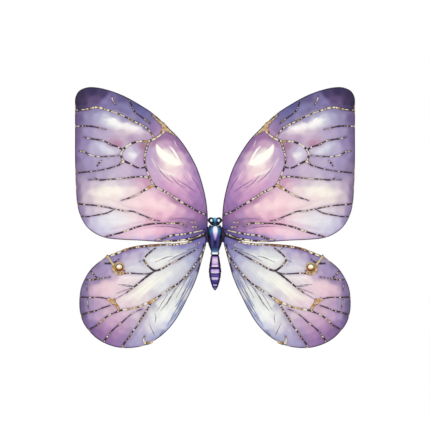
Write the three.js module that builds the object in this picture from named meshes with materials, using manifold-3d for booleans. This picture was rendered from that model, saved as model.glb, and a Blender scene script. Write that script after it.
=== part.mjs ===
// Costume fairy wings: four fabric wings with gilt veins, folding on two upright hinge rods
// behind a jewelled butterfly body, with a harness plate, a foam back pad and two arm straps.
//
// Millimetres, +Z up. The decorated side faces -Y and the wearer stands on the +Y side.
// The origin is the middle of the back pad's flat rear face.
import * as THREE from 'three';
import { mergeVertices } from 'three/addons/utils/BufferGeometryUtils.js';
import Module from 'manifold-3d';

const wasm = await Module();
wasm.setup();

// ---------------------------------------------------------------- driving dimensions

const HALF_SPAN = 350;          // body axis to the forewing's outer edge
const FOREWING_RISE = 370;      // root line to the top of the forewing
const HINDWING_DROP = 283;      // root line to the bottom of the hindwing
const ROOT_OUT = 18;            // body axis to the nearest point of a wing
const GAP = 0.3;                // clearance between pieces that touch

const PAD_THICKNESS = 13;
const PAD_HALF_WIDTH = 42;
const PLATE_THICKNESS = 3;
const LEAF_THICKNESS = 1.6;
const BOSS_ROOT = 1;            // how deep a leaf's boss for a clip starts inside the leaf
const FRAME_WIRE = 2.4;         // square perimeter wire
const PANEL_THICKNESS = 0.8;
const VEIN_DEPTH = 1.6;

const HINGE_OUT = 12.5;         // body axis to a hinge rod
const HINGE_OFFSET = 10;        // fabric's middle to the rods, so that folded wings clear the body
const ROD_RADIUS = 1.5;
const ROD_HEAD_RADIUS = 2.6;
const ROD_HEAD_HEIGHT = 1.6;
const KNUCKLE_RADIUS = 3.4;
const LUG_HEIGHT = 5;
const FORE_KNUCKLE = 13.4;
const HIND_KNUCKLE = 17.4;
const HINGE_TOP = 23;           // top of the upper lug

const KEEL_THICKNESS = 3;
const KEEL_HALF_WIDTH = 5;
const BLOCK_HALF_WIDTH = 7.5;
const SCREW_RADIUS = 2;
const SCREW_HEAD_RADIUS = 3.6;
const SCREW_HEAD_HEIGHT = 2;
const SCREW_GRIP = 8;           // length of screw inside the thorax

const THORAX_HALF_WIDTH = 18.6;
const BODY_DEPTH = 0.8;         // body's depth as a share of its width
const EYE_RADIUS = 7.75;
const EYE_SPACING = 20;
const EYE_UP = 36.8;

const STRAP_OUT = 59;           // body axis to a strap's middle
const STRAP_WIDTH = 20;
const STRAP_THICKNESS = 1.6;
const STRAP_REACH = 108;        // how far a strap loop stands behind the plate
const STRAP_STEP = 9;           // spacing of points along a strap
const ANCHOR_THICKNESS = 1.2;

const BEAD_RADIUS = 12;
const PEARL_RADIUS = 7.5;

// ---------------------------------------------------------------- levels along Y, back to front

const PAD_FRONT = -PAD_THICKNESS;
const PLATE_BACK = PAD_FRONT - GAP;
const PLATE_FRONT = PLATE_BACK - PLATE_THICKNESS;
const LEAF_BACK = PLATE_FRONT - GAP;
const LEAF_FRONT = LEAF_BACK - LEAF_THICKNESS;
const BOSS_BACK = LEAF_BACK - BOSS_ROOT;
const WIRE_BACK = LEAF_FRONT - GAP;
const PANEL_MIDDLE = WIRE_BACK - FRAME_WIRE / 2;
const PANEL_BACK = PANEL_MIDDLE + PANEL_THICKNESS / 2;
const PANEL_FRONT = PANEL_MIDDLE - PANEL_THICKNESS / 2;
const BOSS_THICKNESS = BOSS_BACK - PANEL_BACK - GAP;
const VEIN_BACK = PANEL_FRONT - GAP;
const VEIN_FRONT = VEIN_BACK - VEIN_DEPTH;
const HINGE_Y = PANEL_MIDDLE - HINGE_OFFSET;
const BLOCK_FRONT = HINGE_Y - 1;
const KEEL_BACK = BLOCK_FRONT - GAP;
const KEEL_FRONT = KEEL_BACK - KEEL_THICKNESS;
const BODY_BACK = KEEL_FRONT - GAP;
const BODY_AXIS_Y = BODY_BACK - 3;

// ---------------------------------------------------------------- wing outlines and veins
// Points are [outward from the body axis, up from the root line], drawn for a half span of
// 350, a rise of 370 and a drop of 283, and stretched to the driving dimensions by onWing().

const DRAWN = { out: 350, rise: 370, drop: 283 };

const FOREWING_OUTLINE = [
  [20.5, 9], [18, 32], [19, 62], [23, 92], [32, 130], [45, 168], [66, 208], [90, 242], [120, 272],
  [152, 302], [188, 326], [228, 348], [265, 362], [296, 369], [320, 369], [340, 360], [349, 344],
  [350, 318], [350, 262], [350, 188], [348, 122], [344, 74], [336, 46], [322, 22], [302, 5],
  [275, -7], [232, -12], [188, -14], [158, -16], [132, -18], [105, -17.6], [80, -15], [60, -11],
  [42, -5], [28, 0],
];

const HINDWING_OUTLINE = [
  [24, -3], [42, -8], [60, -14], [80, -18], [105, -20.6], [132, -21.4], [162, -23.4], [192, -26.4],
  [218, -32],
  [242, -41], [268, -52], [290, -67], [310, -85], [325, -108], [335, -132], [339, -160],
  [338, -190], [330, -218], [315, -240], [294, -260], [268, -274], [238, -282], [205, -282],
  [175, -276], [148, -262], [125, -244], [102, -218], [82, -185], [67, -155], [54, -128],
  [43, -100], [34, -68], [27, -42], [22, -20],
];

const FOREWING_UPPER_VEINS = [
  { width: 2.6, path: [[155, 125], [118, 105], [80, 80], [45, 60], [28, 52]] },
  { width: 2.4, path: [[165, 235], [172, 212], [176, 180], [165, 148], [155, 125]] },
  { width: 3.4, path: [[158, 300], [132, 278], [125, 268], [112, 258], [95, 245]] },
  { width: 2.4, path: [[125, 268], [128, 258], [148, 242], [165, 235], [205, 230], [230, 212],
    [235, 202], [230, 186]] },
  { width: 2.2, path: [[340, 314], [325, 314], [295, 319], [262, 310], [205, 285], [172, 268],
    [148, 242]] },
  { width: 2.0, path: [[230, 212], [242, 220], [278, 235], [328, 245]] },
  { width: 2.2, path: [[230, 186], [240, 175], [268, 166], [340, 156]] },
  { width: 2.2, path: [[230, 186], [212, 178], [169, 167]] },
  { width: 1.8, path: [[232, 203], [262, 197], [312, 200], [340, 210]] },
  { width: 1.8, path: [[160, 142], [180, 146], [225, 142], [318, 138]] },
  { width: 2.4, path: [[155, 125], [170, 116], [205, 96], [235, 86]] },
];

const FOREWING_LOWER_VEINS = [
  { width: 2.2, path: [[336, 77], [300, 74], [250, 65], [205, 59], [170, 45], [138, 36],
    [118, 29]] },
  { width: 1.8, path: [[328, 47], [300, 49], [270, 55], [250, 65]] },
  { width: 2.4, path: [[270, -1], [238, 5], [195, 20], [155, 28], [88, 29], [66, 18], [54, 6]] },
  { width: 2.4, path: [[146, -10], [112, -3], [88, 1], [54, 6], [30, 13]] },
];

const HINDWING_VEINS = [
  { width: 2.6, path: [[160, -168], [122, -142], [78, -108], [52, -78], [32, -42], [28, -26]] },
  { width: 2.2, path: [[148, -32], [170, -50], [178, -61], [165, -80], [150, -89], [112, -72],
    [62, -45], [31, -38]] },
  { width: 2.4, path: [[239, -189], [212, -184], [160, -168]] },
  { width: 2.4, path: [[160, -168], [175, -195], [205, -240], [229, -275]] },
  { width: 2.2, path: [[330, -155], [288, -156], [255, -165], [245, -178], [239, -189]] },
  { width: 2.0, path: [[327, -198], [300, -190], [262, -176], [249, -172]] },
  { width: 2.2, path: [[239, -189], [268, -202], [295, -225], [312, -234]] },
  { width: 1.8, path: [[270, -262], [245, -228], [200, -192], [170, -187]] },
  { width: 2.0, path: [[150, -89], [188, -118], [218, -140], [255, -165]] },
  { width: 1.6, path: [[198, -126], [220, -125], [242, -124]] },
  { width: 1.6, path: [[201, -128], [225, -138], [248, -146]] },
  { width: 1.6, path: [[225, -95], [188, -96], [158, -95]] },
];

const FOREWING_CLIPS = { upper: [[44, 31], [62, 32]], lower: [[38, 19], [60, 21]] };
const HINDWING_CLIPS = { root: [[36, -19], [54, -25]] };
const BEAD_CENTRE = [239, -80];
const BEAD_STEM = [[264, -56], [255, -68], [246, -76]];

const OUTLINE_STEP = 14;        // spacing of points along a wing's edge
const VEIN_STEP = 18;

// ---------------------------------------------------------------- materials

function finish(color, roughness, metalness) {
  return new THREE.MeshStandardMaterial({ color, roughness, metalness });
}

const MATERIALS = {
  forePanel: finish(0xb9a3c4, 0.45, 0),
  hindPanel: finish(0xc8bfd6, 0.45, 0),
  gilt: finish(0xc9a35a, 0.35, 1),
  wire: finish(0x6b4f3a, 0.4, 0.8),
  pearl: finish(0xf2ece4, 0.2, 0),
  shell: finish(0x27487f, 0.25, 0.7),
  eye: finish(0x120f24, 0.1, 0.1),
  abdomen: finish(0x5a4a94, 0.3, 0.5),
  ring: finish(0xe9e4ee, 0.25, 0.6),
  leaf: finish(0x5b4577, 0.5, 0.6),
  plate: finish(0x3a3346, 0.6, 0),
  foam: finish(0x2d2836, 0.95, 0),
  elastic: finish(0x2a2530, 0.9, 0),
  steel: finish(0xb8b8bc, 0.3, 1),
};

// ---------------------------------------------------------------- geometry helpers

function onWing([out, up]) {
  const stretch = (HALF_SPAN - ROOT_OUT) / (DRAWN.out - ROOT_OUT);
  const lift = up > 0 ? FOREWING_RISE / DRAWN.rise : HINDWING_DROP / DRAWN.drop;
  return new THREE.Vector2(ROOT_OUT + (out - ROOT_OUT) * stretch, up * lift);
}

// Points on a smooth curve through the given ones, which all stay in it, about a step apart.
function smooth(points, step, closed) {
  const through = points.map((p) => new THREE.Vector3(p.x, p.y, 0));
  const curve = new THREE.CatmullRomCurve3(through, closed, 'centripetal');
  const spans = closed ? points.length : points.length - 1;
  const line = [];
  for (let span = 0; span < spans; span += 1) {
    const length = points[span].distanceTo(points[(span + 1) % points.length]);
    const pieces = Math.max(1, Math.round(length / step));
    for (let k = 0; k < pieces; k += 1) {
      const p = curve.getPoint((span + k / pieces) / spans);
      line.push(new THREE.Vector2(p.x, p.y));
    }
  }
  if (!closed) line.push(points[points.length - 1].clone());
  return line;
}

// The loop of points moved inward by a distance, square to the edge.
function inset(loop, distance) {
  const inward = THREE.ShapeUtils.isClockWise(loop) ? -distance : distance;
  return loop.map((p, i) => {
    const before = loop[(i + loop.length - 1) % loop.length];
    const after = loop[(i + 1) % loop.length];
    const along = after.clone().sub(before).normalize();
    return new THREE.Vector2(p.x - along.y * inward, p.y + along.x * inward);
  });
}

// The outline of a flat strip that follows points, narrowing to a share of its width at its ends.
function strip(points, width, endShare = 1) {
  const sides = [[], []];
  points.forEach((p, i) => {
    const along = points[Math.min(i + 1, points.length - 1)].clone()
      .sub(points[Math.max(i - 1, 0)]).normalize();
    const atEnd = i === 0 || i === points.length - 1;
    const half = width / 2 * (atEnd ? endShare : 1);
    sides[0].push(new THREE.Vector2(p.x - along.y * half, p.y + along.x * half));
    sides[1].push(new THREE.Vector2(p.x + along.y * half, p.y - along.x * half));
  });
  return [...sides[0], ...sides[1].reverse()];
}

// An outline in the XZ plane made into a plate whose rear face is at backY.
function upright(outline, backY, thickness) {
  const shape = new THREE.Shape(outline);
  const plate = new THREE.ExtrudeGeometry(shape, { depth: thickness, bevelEnabled: false });
  return plate.rotateX(Math.PI / 2).translate(0, backY, 0);
}

// An outline in the YZ plane made into a strip of the given width about x = middle.
function sideways(outline, middle, width) {
  const shape = new THREE.Shape(outline);
  const strap = new THREE.ExtrudeGeometry(shape, { depth: width, bevelEnabled: false });
  return strap.rotateX(Math.PI / 2).rotateZ(Math.PI / 2).translate(middle - width / 2, 0, 0);
}

function box(x0, x1, y0, y1, z0, z1) {
  const block = new THREE.BoxGeometry(Math.abs(x1 - x0), Math.abs(y1 - y0), Math.abs(z1 - z0));
  return block.translate((x0 + x1) / 2, (y0 + y1) / 2, (z0 + z1) / 2);
}

// A turned piece about an upright axis; profile points are [radius, height].
function turned(profile, segments) {
  const points = profile.map(([r, z]) => new THREE.Vector2(r, z));
  return new THREE.LatheGeometry(points, segments).rotateX(Math.PI / 2);
}

function cylinder(radius, low, high, segments) {
  return turned([[0, low], [radius, low], [radius, high], [0, high]], segments);
}

function solid(geometry) {
  const bare = geometry.index ? geometry.toNonIndexed() : geometry.clone();
  bare.deleteAttribute('normal');
  bare.deleteAttribute('uv');
  const merged = mergeVertices(bare, 1e-4);
  return new wasm.Manifold(new wasm.Mesh({
    numProp: 3,
    vertProperties: new Float32Array(merged.attributes.position.array),
    triVerts: new Uint32Array(merged.index.array),
  }));
}

function surface(body) {
  const mesh = body.getMesh();
  const geometry = new THREE.BufferGeometry();
  geometry.setAttribute('position', new THREE.BufferAttribute(mesh.vertProperties, 3));
  geometry.setIndex(new THREE.BufferAttribute(mesh.triVerts, 1));
  geometry.computeVertexNormals();
  return geometry;
}

function joined(geometries) {
  return surface(geometries.map(solid).reduce((all, next) => all.add(next)));
}

function cut(geometry, ...tools) {
  return surface(tools.reduce((rest, tool) => rest.subtract(solid(tool)), solid(geometry)));
}

function mirrored(points, side) {
  return points.map((p) => new THREE.Vector2(p.x * side, p.y));
}

const wings = new THREE.Group();

function add(name, geometry, material) {
  const mesh = new THREE.Mesh(geometry, MATERIALS[material]);
  mesh.name = name;
  wings.add(mesh);
}

// ---------------------------------------------------------------- hinge layout along Z

const LUG_1 = [HINGE_TOP - LUG_HEIGHT, HINGE_TOP];
const FORE_SPAN = [LUG_1[0] - GAP - FORE_KNUCKLE, LUG_1[0] - GAP];
const LUG_2 = [FORE_SPAN[0] - GAP - LUG_HEIGHT, FORE_SPAN[0] - GAP];
const HIND_SPAN = [LUG_2[0] - GAP - HIND_KNUCKLE, LUG_2[0] - GAP];
const LUG_3 = [HIND_SPAN[0] - GAP - LUG_HEIGHT, HIND_SPAN[0] - GAP];
const ROD_BORE = ROD_RADIUS + GAP;

function bore(side) {
  return cylinder(ROD_BORE, LUG_3[0] - 10, LUG_1[1] + 10, 12)
    .translate(side * HINGE_OUT, HINGE_Y, 0);
}

// ---------------------------------------------------------------- harness

const SCREW_UPS = { upper: 14, lower: -18 };
const SCREW_BORE = SCREW_RADIUS + GAP;

function alongY(radius, fromY, toY, up, segments = 12) {
  const length = Math.abs(toY - fromY);
  const bar = new THREE.CylinderGeometry(radius, radius, length, segments);
  return bar.translate(0, (fromY + toY) / 2, up);
}

function harnessPlate() {
  const half = [[0, 19], [17, 19], [25, 30], [33, 58], [42, 86], [74, 86], [74, 62], [62, 24],
    [62, -14], [74, -38], [74, -60], [46, -60], [33, -38], [22, -17], [0, -17]];
  const right = half.map(([x, z]) => new THREE.Vector2(x, z));
  const left = mirrored(right.slice(1, -1), -1).reverse();
  const parts = [upright([...right, ...left], PLATE_BACK, PLATE_THICKNESS)];
  parts.push(box(-BLOCK_HALF_WIDTH, BLOCK_HALF_WIDTH, BLOCK_FRONT, PLATE_FRONT + 1,
    LUG_3[0], LUG_1[1]));
  for (const side of [-1, 1]) {
    for (const [low, high] of [LUG_1, LUG_2, LUG_3]) {
      parts.push(cylinder(KNUCKLE_RADIUS, low, high, 16).translate(side * HINGE_OUT, HINGE_Y, 0));
      parts.push(box(side * (BLOCK_HALF_WIDTH - 1), side * HINGE_OUT,
        HINGE_Y - KNUCKLE_RADIUS + 1, HINGE_Y + KNUCKLE_RADIUS, low, high));
    }
  }
  const tools = [bore(-1), bore(1)];
  for (const up of Object.values(SCREW_UPS)) {
    tools.push(alongY(SCREW_BORE, 0, BODY_BACK, up));
    tools.push(alongY(SCREW_HEAD_RADIUS + GAP, 0, PLATE_BACK - SCREW_HEAD_HEIGHT - GAP, up));
  }
  return cut(joined(parts), ...tools);
}

function backPad() {
  const half = [[0, 17], [16, 17], [23, 28], [31, 56], [37, 80], [PAD_HALF_WIDTH, 80],
    [PAD_HALF_WIDTH, -54], [39, -54], [30, -35], [20, -15], [0, -15]];
  const right = half.map(([x, z]) => new THREE.Vector2(x, z));
  const left = mirrored(right.slice(1, -1), -1).reverse();
  return upright([...right, ...left], 0, PAD_THICKNESS);
}

function keel() {
  const bar = box(-KEEL_HALF_WIDTH, KEEL_HALF_WIDTH, KEEL_FRONT, KEEL_BACK, -130, 40);
  return cut(bar, ...Object.values(SCREW_UPS).map((up) => (
    alongY(SCREW_BORE, 0, BODY_BACK - 5, up))));
}

function thoraxScrew(up) {
  const headBack = PLATE_BACK - GAP;
  const headFront = headBack - SCREW_HEAD_HEIGHT + GAP;
  return joined([
    alongY(SCREW_HEAD_RADIUS, headBack, headFront, up),
    alongY(SCREW_RADIUS, headFront + 0.5, BODY_BACK - SCREW_GRIP, up),
  ]);
}

function hingeRod(side) {
  const low = LUG_3[0] - GAP - 3;
  const high = LUG_1[1] + GAP;
  return turned([[0, low], [ROD_RADIUS, low], [ROD_RADIUS, high], [ROD_HEAD_RADIUS, high],
    [ROD_HEAD_RADIUS, high + ROD_HEAD_HEIGHT], [0, high + ROD_HEAD_HEIGHT]], 16)
    .translate(side * HINGE_OUT, HINGE_Y, 0);
}

function rodCap(side) {
  const high = LUG_3[0] - GAP;
  const low = high - 3;
  return turned([[ROD_BORE, low], [ROD_HEAD_RADIUS + 0.4, low], [ROD_HEAD_RADIUS + 0.4, high],
    [ROD_BORE, high], [ROD_BORE, low]], 16).translate(side * HINGE_OUT, HINGE_Y, 0);
}

// The strap leaves the plate's upper lobe, arches back round the shoulder and comes in to the
// lower lobe. Points are [back from the plate's rear face, up].
function strapLine() {
  const middle = PLATE_BACK + GAP + STRAP_THICKNESS / 2;
  const drawn = [[0, 58], [0.1, 70], [0.8, 77], [4, 86], [14, 95], [31, 98], [54, 91], [78, 68],
    [98, 34], [108, -8], [104, -50], [84, -84], [54, -99], [28, -95], [12, -85], [4, -74],
    [0.8, -65], [0.1, -58], [0, -44]];
  const drawnReach = Math.max(...drawn.map(([back]) => back));
  const reach = STRAP_REACH / drawnReach;
  const points = drawn.map(([back, up]) => new THREE.Vector2(middle + back * reach, up));
  return smooth(points, STRAP_STEP, false);
}

function strap(side) {
  return sideways(strip(strapLine(), STRAP_THICKNESS), side * STRAP_OUT, STRAP_WIDTH);
}

function strapAnchor(side, up) {
  const back = PLATE_BACK + GAP + STRAP_THICKNESS + GAP;
  const parts = [box(side * STRAP_OUT - 9, side * STRAP_OUT + 9, back, back + ANCHOR_THICKNESS,
    up - 4, up + 4)];
  for (const shift of [-5, 5]) {
    const dome = new THREE.CylinderGeometry(1.4, 2.4, 1.2, 12);
    parts.push(dome.translate(side * STRAP_OUT + shift, back + ANCHOR_THICKNESS + 0.5, up));
  }
  return joined(parts);
}

// ---------------------------------------------------------------- jewelled body

// A turned body form, flattened front to back and with a flat back on the keel.
function bodyForm(profile, segments = 24) {
  const form = turned(profile, segments).scale(1, BODY_DEPTH, 1).translate(0, BODY_AXIS_Y, 0);
  return cut(form, box(-60, 60, BODY_BACK, BODY_BACK + 60, -200, 120));
}

const THORAX_PROFILE = [[0, -41.5], [0.48, -41.5], [0.62, -36], [0.86, -22], [0.985, -12],
  [1, -6], [0.96, 4], [0.85, 13], [0.66, 19], [0.4, 22.4], [0, 23]];

function thorax() {
  const form = bodyForm(THORAX_PROFILE.map(([share, up]) => [share * THORAX_HALF_WIDTH, up]));
  return cut(form, ...Object.values(SCREW_UPS).map((up) => (
    alongY(SCREW_BORE, 0, BODY_BACK - SCREW_GRIP - GAP, up))));
}

function eyeBall(side, radius) {
  const ball = new THREE.SphereGeometry(radius, 16, 10);
  return ball.translate(side * EYE_SPACING / 2, BODY_AXIS_Y - 4, EYE_UP);
}

function head() {
  const form = bodyForm([[0, 23.6], [8, 23.6], [12, 27], [13, 32], [11.5, 38], [7, 42.5],
    [0, 43.5]]);
  return cut(form, eyeBall(-1, EYE_RADIUS + GAP), eyeBall(1, EYE_RADIUS + GAP));
}

// Half-width of the abdomen at each height, from the waist to the tip.
const ABDOMEN = new THREE.SplineCurve([
  new THREE.Vector2(-51, 9), new THREE.Vector2(-70, 12.6), new THREE.Vector2(-90, 14.6),
  new THREE.Vector2(-106, 12.8), new THREE.Vector2(-119, 9.6), new THREE.Vector2(-130, 5.4),
  new THREE.Vector2(-138, 0.8)]);

function abdomenRadius(up) {
  let low = 0;
  let high = 1;
  for (let i = 0; i < 24; i += 1) {
    const middle = (low + high) / 2;
    if (ABDOMEN.getPoint(middle).x > up) low = middle;
    else high = middle;
  }
  return ABDOMEN.getPoint(low).y;
}

const ABDOMEN_JOINTS = [-51, -79.5, -94.2, -107.6, -124.6, -138];

function abdomenSegment(index) {
  const top = ABDOMEN_JOINTS[index] - GAP / 2;
  const bottom = ABDOMEN_JOINTS[index + 1] + GAP / 2;
  const profile = [[0, bottom], [abdomenRadius(bottom) * 0.9, bottom]];
  for (const share of [0.15, 0.4, 0.65, 0.9]) {
    const up = bottom + (top - bottom) * share;
    profile.push([abdomenRadius(up) * (share < 0.3 ? 1.02 : 1), up]);
  }
  profile.push([abdomenRadius(top) * 0.9, top], [0, top]);
  return bodyForm(profile, 20);
}

function waistRing() {
  return bodyForm([[0, -49.5], [9, -49.5], [10, -47], [9.8, -44], [9, -42.2], [0, -42.2]]);
}

// ---------------------------------------------------------------- wings

function wingLoop(outline, side) {
  return mirrored(smooth(outline.map(onWing), OUTLINE_STEP, true), side);
}

function frame(outline, side) {
  const edge = wingLoop(outline, side);
  const inside = upright(inset(edge, FRAME_WIRE), WIRE_BACK + 1, FRAME_WIRE + 2);
  return cut(upright(edge, WIRE_BACK, FRAME_WIRE), inside);
}

function panel(outline, side, back = PANEL_BACK, thickness = PANEL_THICKNESS) {
  const edge = wingLoop(outline, side);
  return upright(inset(edge, FRAME_WIRE + 2 * GAP), back, thickness);
}

function rib(path, width, side) {
  const line = smooth(path.map(onWing), VEIN_STEP, false);
  return upright(strip(mirrored(line, side), width, 0.6), VEIN_BACK, VEIN_DEPTH);
}

// Crossing ribs made into one network that ends where the fabric ends.
function veins(list, outline, side) {
  const network = solid(joined(list.map(({ path, width }) => rib(path, width, side))));
  return surface(network.intersect(solid(panel(outline, side, VEIN_BACK + 1, VEIN_DEPTH + 2))));
}

// A leaf wraps a rod with its knuckle, steps back to the wing's plane and carries the fabric
// and wire on its tab.
function leaf(tab, [low, high], bosses, side) {
  const knuckle = cylinder(KNUCKLE_RADIUS, low, high, 16).translate(side * HINGE_OUT, HINGE_Y, 0);
  const foot = new THREE.Vector2(HINGE_OUT + 5, LEAF_BACK - LEAF_THICKNESS / 2);
  const arm = strip([new THREE.Vector2(HINGE_OUT + 1, HINGE_Y + 1), foot], 2.4);
  const web = new THREE.ExtrudeGeometry(new THREE.Shape(mirrored(arm, side)), {
    depth: high - low, bevelEnabled: false }).translate(0, 0, low);
  const parts = [knuckle, web, upright(mirrored(tab, side), LEAF_BACK, LEAF_THICKNESS)];
  for (const boss of bosses) {
    const pad = strip(mirrored(boss.map(onWing), side), 4);
    parts.push(upright(pad, BOSS_BACK, BOSS_THICKNESS));
  }
  return cut(joined(parts), bore(side));
}

function clip(line, side) {
  const bar = strip(mirrored(line.map(onWing), side), 3);
  return upright(bar, VEIN_BACK, VEIN_DEPTH);
}

function bezel(side) {
  const centre = onWing(BEAD_CENTRE);
  const cup = new THREE.LatheGeometry([
    [0, 0], [BEAD_RADIUS, 0], [BEAD_RADIUS, 2.4], [BEAD_RADIUS - 2, 3.6], [PEARL_RADIUS + 1, 2.4],
    [PEARL_RADIUS, 1], [0, 1]].map(([r, y]) => new THREE.Vector2(r, y)), 20);
  cup.rotateX(Math.PI).translate(side * centre.x, VEIN_BACK, centre.y);
  return joined([cup, rib(BEAD_STEM, 3, side)]);
}

function pearl(side) {
  const centre = onWing(BEAD_CENTRE);
  const dome = new THREE.SphereGeometry(PEARL_RADIUS - GAP, 14, 8).scale(1, 0.55, 1);
  dome.translate(side * centre.x, VEIN_BACK - 1 - GAP - (PEARL_RADIUS - GAP) * 0.55, centre.y);
  return dome;
}

function tabOutline(points) {
  return points.map(([x, z]) => new THREE.Vector2(x, z));
}

const FORE_TAB = tabOutline([[16, FORE_SPAN[0]], [24, 8.5], [66, 3], [66, 40], [40, 40],
  [24, FORE_SPAN[1]], [16, FORE_SPAN[1]]]);
const HIND_TAB = tabOutline([[16, HIND_SPAN[1]], [24, -8], [58, -17], [58, -44], [38, -38],
  [24, HIND_SPAN[0]], [16, HIND_SPAN[0]]]);

function buildForewing(name, side) {
  add(`forewing_leaf_${name}`, leaf(FORE_TAB, FORE_SPAN, Object.values(FOREWING_CLIPS), side),
    'leaf');
  add(`forewing_frame_${name}`, frame(FOREWING_OUTLINE, side), 'wire');
  add(`forewing_panel_${name}`, panel(FOREWING_OUTLINE, side), 'forePanel');
  add(`forewing_upper_veins_${name}`, veins(FOREWING_UPPER_VEINS, FOREWING_OUTLINE, side),
    'gilt');
  add(`forewing_lower_veins_${name}`, veins(FOREWING_LOWER_VEINS, FOREWING_OUTLINE, side),
    'gilt');
  for (const [place, line] of Object.entries(FOREWING_CLIPS)) {
    add(`forewing_${place}_clip_${name}`, clip(line, side), 'gilt');
  }
}

function buildHindwing(name, side) {
  add(`hindwing_leaf_${name}`, leaf(HIND_TAB, HIND_SPAN, Object.values(HINDWING_CLIPS), side),
    'leaf');
  add(`hindwing_frame_${name}`, frame(HINDWING_OUTLINE, side), 'wire');
  add(`hindwing_panel_${name}`, panel(HINDWING_OUTLINE, side), 'hindPanel');
  add(`hindwing_veins_${name}`, veins(HINDWING_VEINS, HINDWING_OUTLINE, side), 'gilt');
  for (const [place, line] of Object.entries(HINDWING_CLIPS)) {
    add(`hindwing_${place}_clip_${name}`, clip(line, side), 'gilt');
  }
  add(`bead_bezel_${name}`, bezel(side), 'gilt');
  add(`bead_pearl_${name}`, pearl(side), 'pearl');
}

// ---------------------------------------------------------------- assembly

add('harness_plate', harnessPlate(), 'plate');
add('back_pad', backPad(), 'foam');
add('body_keel', keel(), 'steel');
for (const [place, up] of Object.entries(SCREW_UPS)) {
  add(`thorax_screw_${place}`, thoraxScrew(up), 'steel');
}
add('head_shell', head(), 'shell');
add('thorax_shell', thorax(), 'shell');
add('waist_ring', waistRing(), 'ring');
for (let i = 0; i < ABDOMEN_JOINTS.length - 1; i += 1) {
  add(`abdomen_segment_${i + 1}`, abdomenSegment(i), 'abdomen');
}

for (const [name, side] of [['left', -1], ['right', 1]]) {
  add(`eye_${name}`, eyeBall(side, EYE_RADIUS), 'eye');
  add(`hinge_rod_${name}`, hingeRod(side), 'steel');
  add(`hinge_rod_cap_${name}`, rodCap(side), 'steel');
  buildForewing(name, side);
  buildHindwing(name, side);
  add(`arm_strap_${name}`, strap(side), 'elastic');
  add(`strap_anchor_upper_${name}`, strapAnchor(side, 65), 'steel');
  add(`strap_anchor_lower_${name}`, strapAnchor(side, -51), 'steel');
}

export default wings;
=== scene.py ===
import bpy
import numpy as np
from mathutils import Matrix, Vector


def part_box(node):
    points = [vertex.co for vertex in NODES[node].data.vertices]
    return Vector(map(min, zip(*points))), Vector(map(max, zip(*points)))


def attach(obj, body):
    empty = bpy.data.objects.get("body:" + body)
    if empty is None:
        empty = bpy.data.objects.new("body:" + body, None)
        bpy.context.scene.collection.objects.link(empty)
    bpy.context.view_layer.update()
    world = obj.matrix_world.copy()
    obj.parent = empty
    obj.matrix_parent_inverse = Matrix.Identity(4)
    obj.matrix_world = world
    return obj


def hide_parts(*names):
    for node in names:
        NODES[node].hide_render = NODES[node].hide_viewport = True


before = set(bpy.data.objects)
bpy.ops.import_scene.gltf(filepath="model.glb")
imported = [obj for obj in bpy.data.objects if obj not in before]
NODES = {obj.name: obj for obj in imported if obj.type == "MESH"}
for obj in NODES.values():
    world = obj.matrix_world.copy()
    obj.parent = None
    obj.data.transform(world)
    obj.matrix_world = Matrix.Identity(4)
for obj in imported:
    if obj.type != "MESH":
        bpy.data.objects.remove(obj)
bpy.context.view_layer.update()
SIDES = {"left": -1, "right": 1}
MM = 0.001

# ---------------------------------------------------------------- levels, edges and drawn lines

PANEL_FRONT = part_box("forewing_panel_left")[0].y
WIRE_LOW, WIRE_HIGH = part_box("forewing_frame_left")
WIRE_MIDDLE = (WIRE_LOW.y + WIRE_HIGH.y) / 2
WIRE_RADIUS = (WIRE_HIGH.y - WIRE_LOW.y) / 2
VEIN_HEIGHT = 1.0 * MM      # how far unbroken leaf stands off the cloth
INK_HEIGHT = 0.25 * MM
LINE_SINK = 0.3 * MM        # how far a line's flat base lies behind the cloth's face
CLOTH_THICKNESS = 0.5 * MM
PILLOW = 1.6 * MM           # how far the cloth swells between its veins
PILLOW_REACH = 16 * MM      # how far from a vein the swelling takes to build up
RIM_INSET = 1.2             # millimetres from the wing's edge in to the middle of its edge wire
CORD_SIDES = 12             # sides of the edge wires, the piping and the clips
LATHE_SIDES = 72            # sides of the body's turned forms and the bezels
GLASS_SIDES = 56            # sides of the eyes and pearls
WEBBING_SIDES = 28          # sides of the arm straps

# Wing edges and lines as [outward from the body axis, up from the root line], in millimetres.
# The four sides of an edge meet at the corners of the cloth's grid.
FOREWING_EDGE = {
    "root": [[28, 0], [20.5, 9], [18, 32], [19, 62], [23, 92]],
    "top": [[23, 92], [32, 130], [45, 168], [66, 208], [90, 242], [120, 272], [152, 302], [188, 326],
            [228, 348], [265, 362], [296, 369], [320, 369], [340, 360]],
    "outer": [[340, 360], [349, 344], [350, 318], [350, 262], [350, 188], [348, 122], [344, 74],
              [336, 46], [322, 22]],
    "bottom": [[322, 22], [302, 5], [275, -7], [232, -12], [188, -14], [158, -16], [132, -18],
               [105, -17.6], [80, -15], [60, -11], [42, -5], [28, 0]],
}
HINDWING_EDGE = {
    "root": [[27, -42], [22, -20], [24, -3]],
    "top": [[24, -3], [42, -8], [60, -14], [80, -18], [105, -20.6], [132, -21.4], [162, -23.4],
            [192, -26.4], [218, -32], [242, -41], [268, -52], [290, -67]],
    "outer": [[290, -67], [310, -85], [325, -108], [335, -132], [339, -160], [338, -190], [330, -218],
              [315, -240], [294, -260], [268, -274], [238, -282], [205, -282], [175, -276]],
    "bottom": [[175, -276], [148, -262], [125, -244], [102, -218], [82, -185], [67, -155], [54, -128],
               [43, -100], [34, -68], [27, -42]],
}

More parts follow.
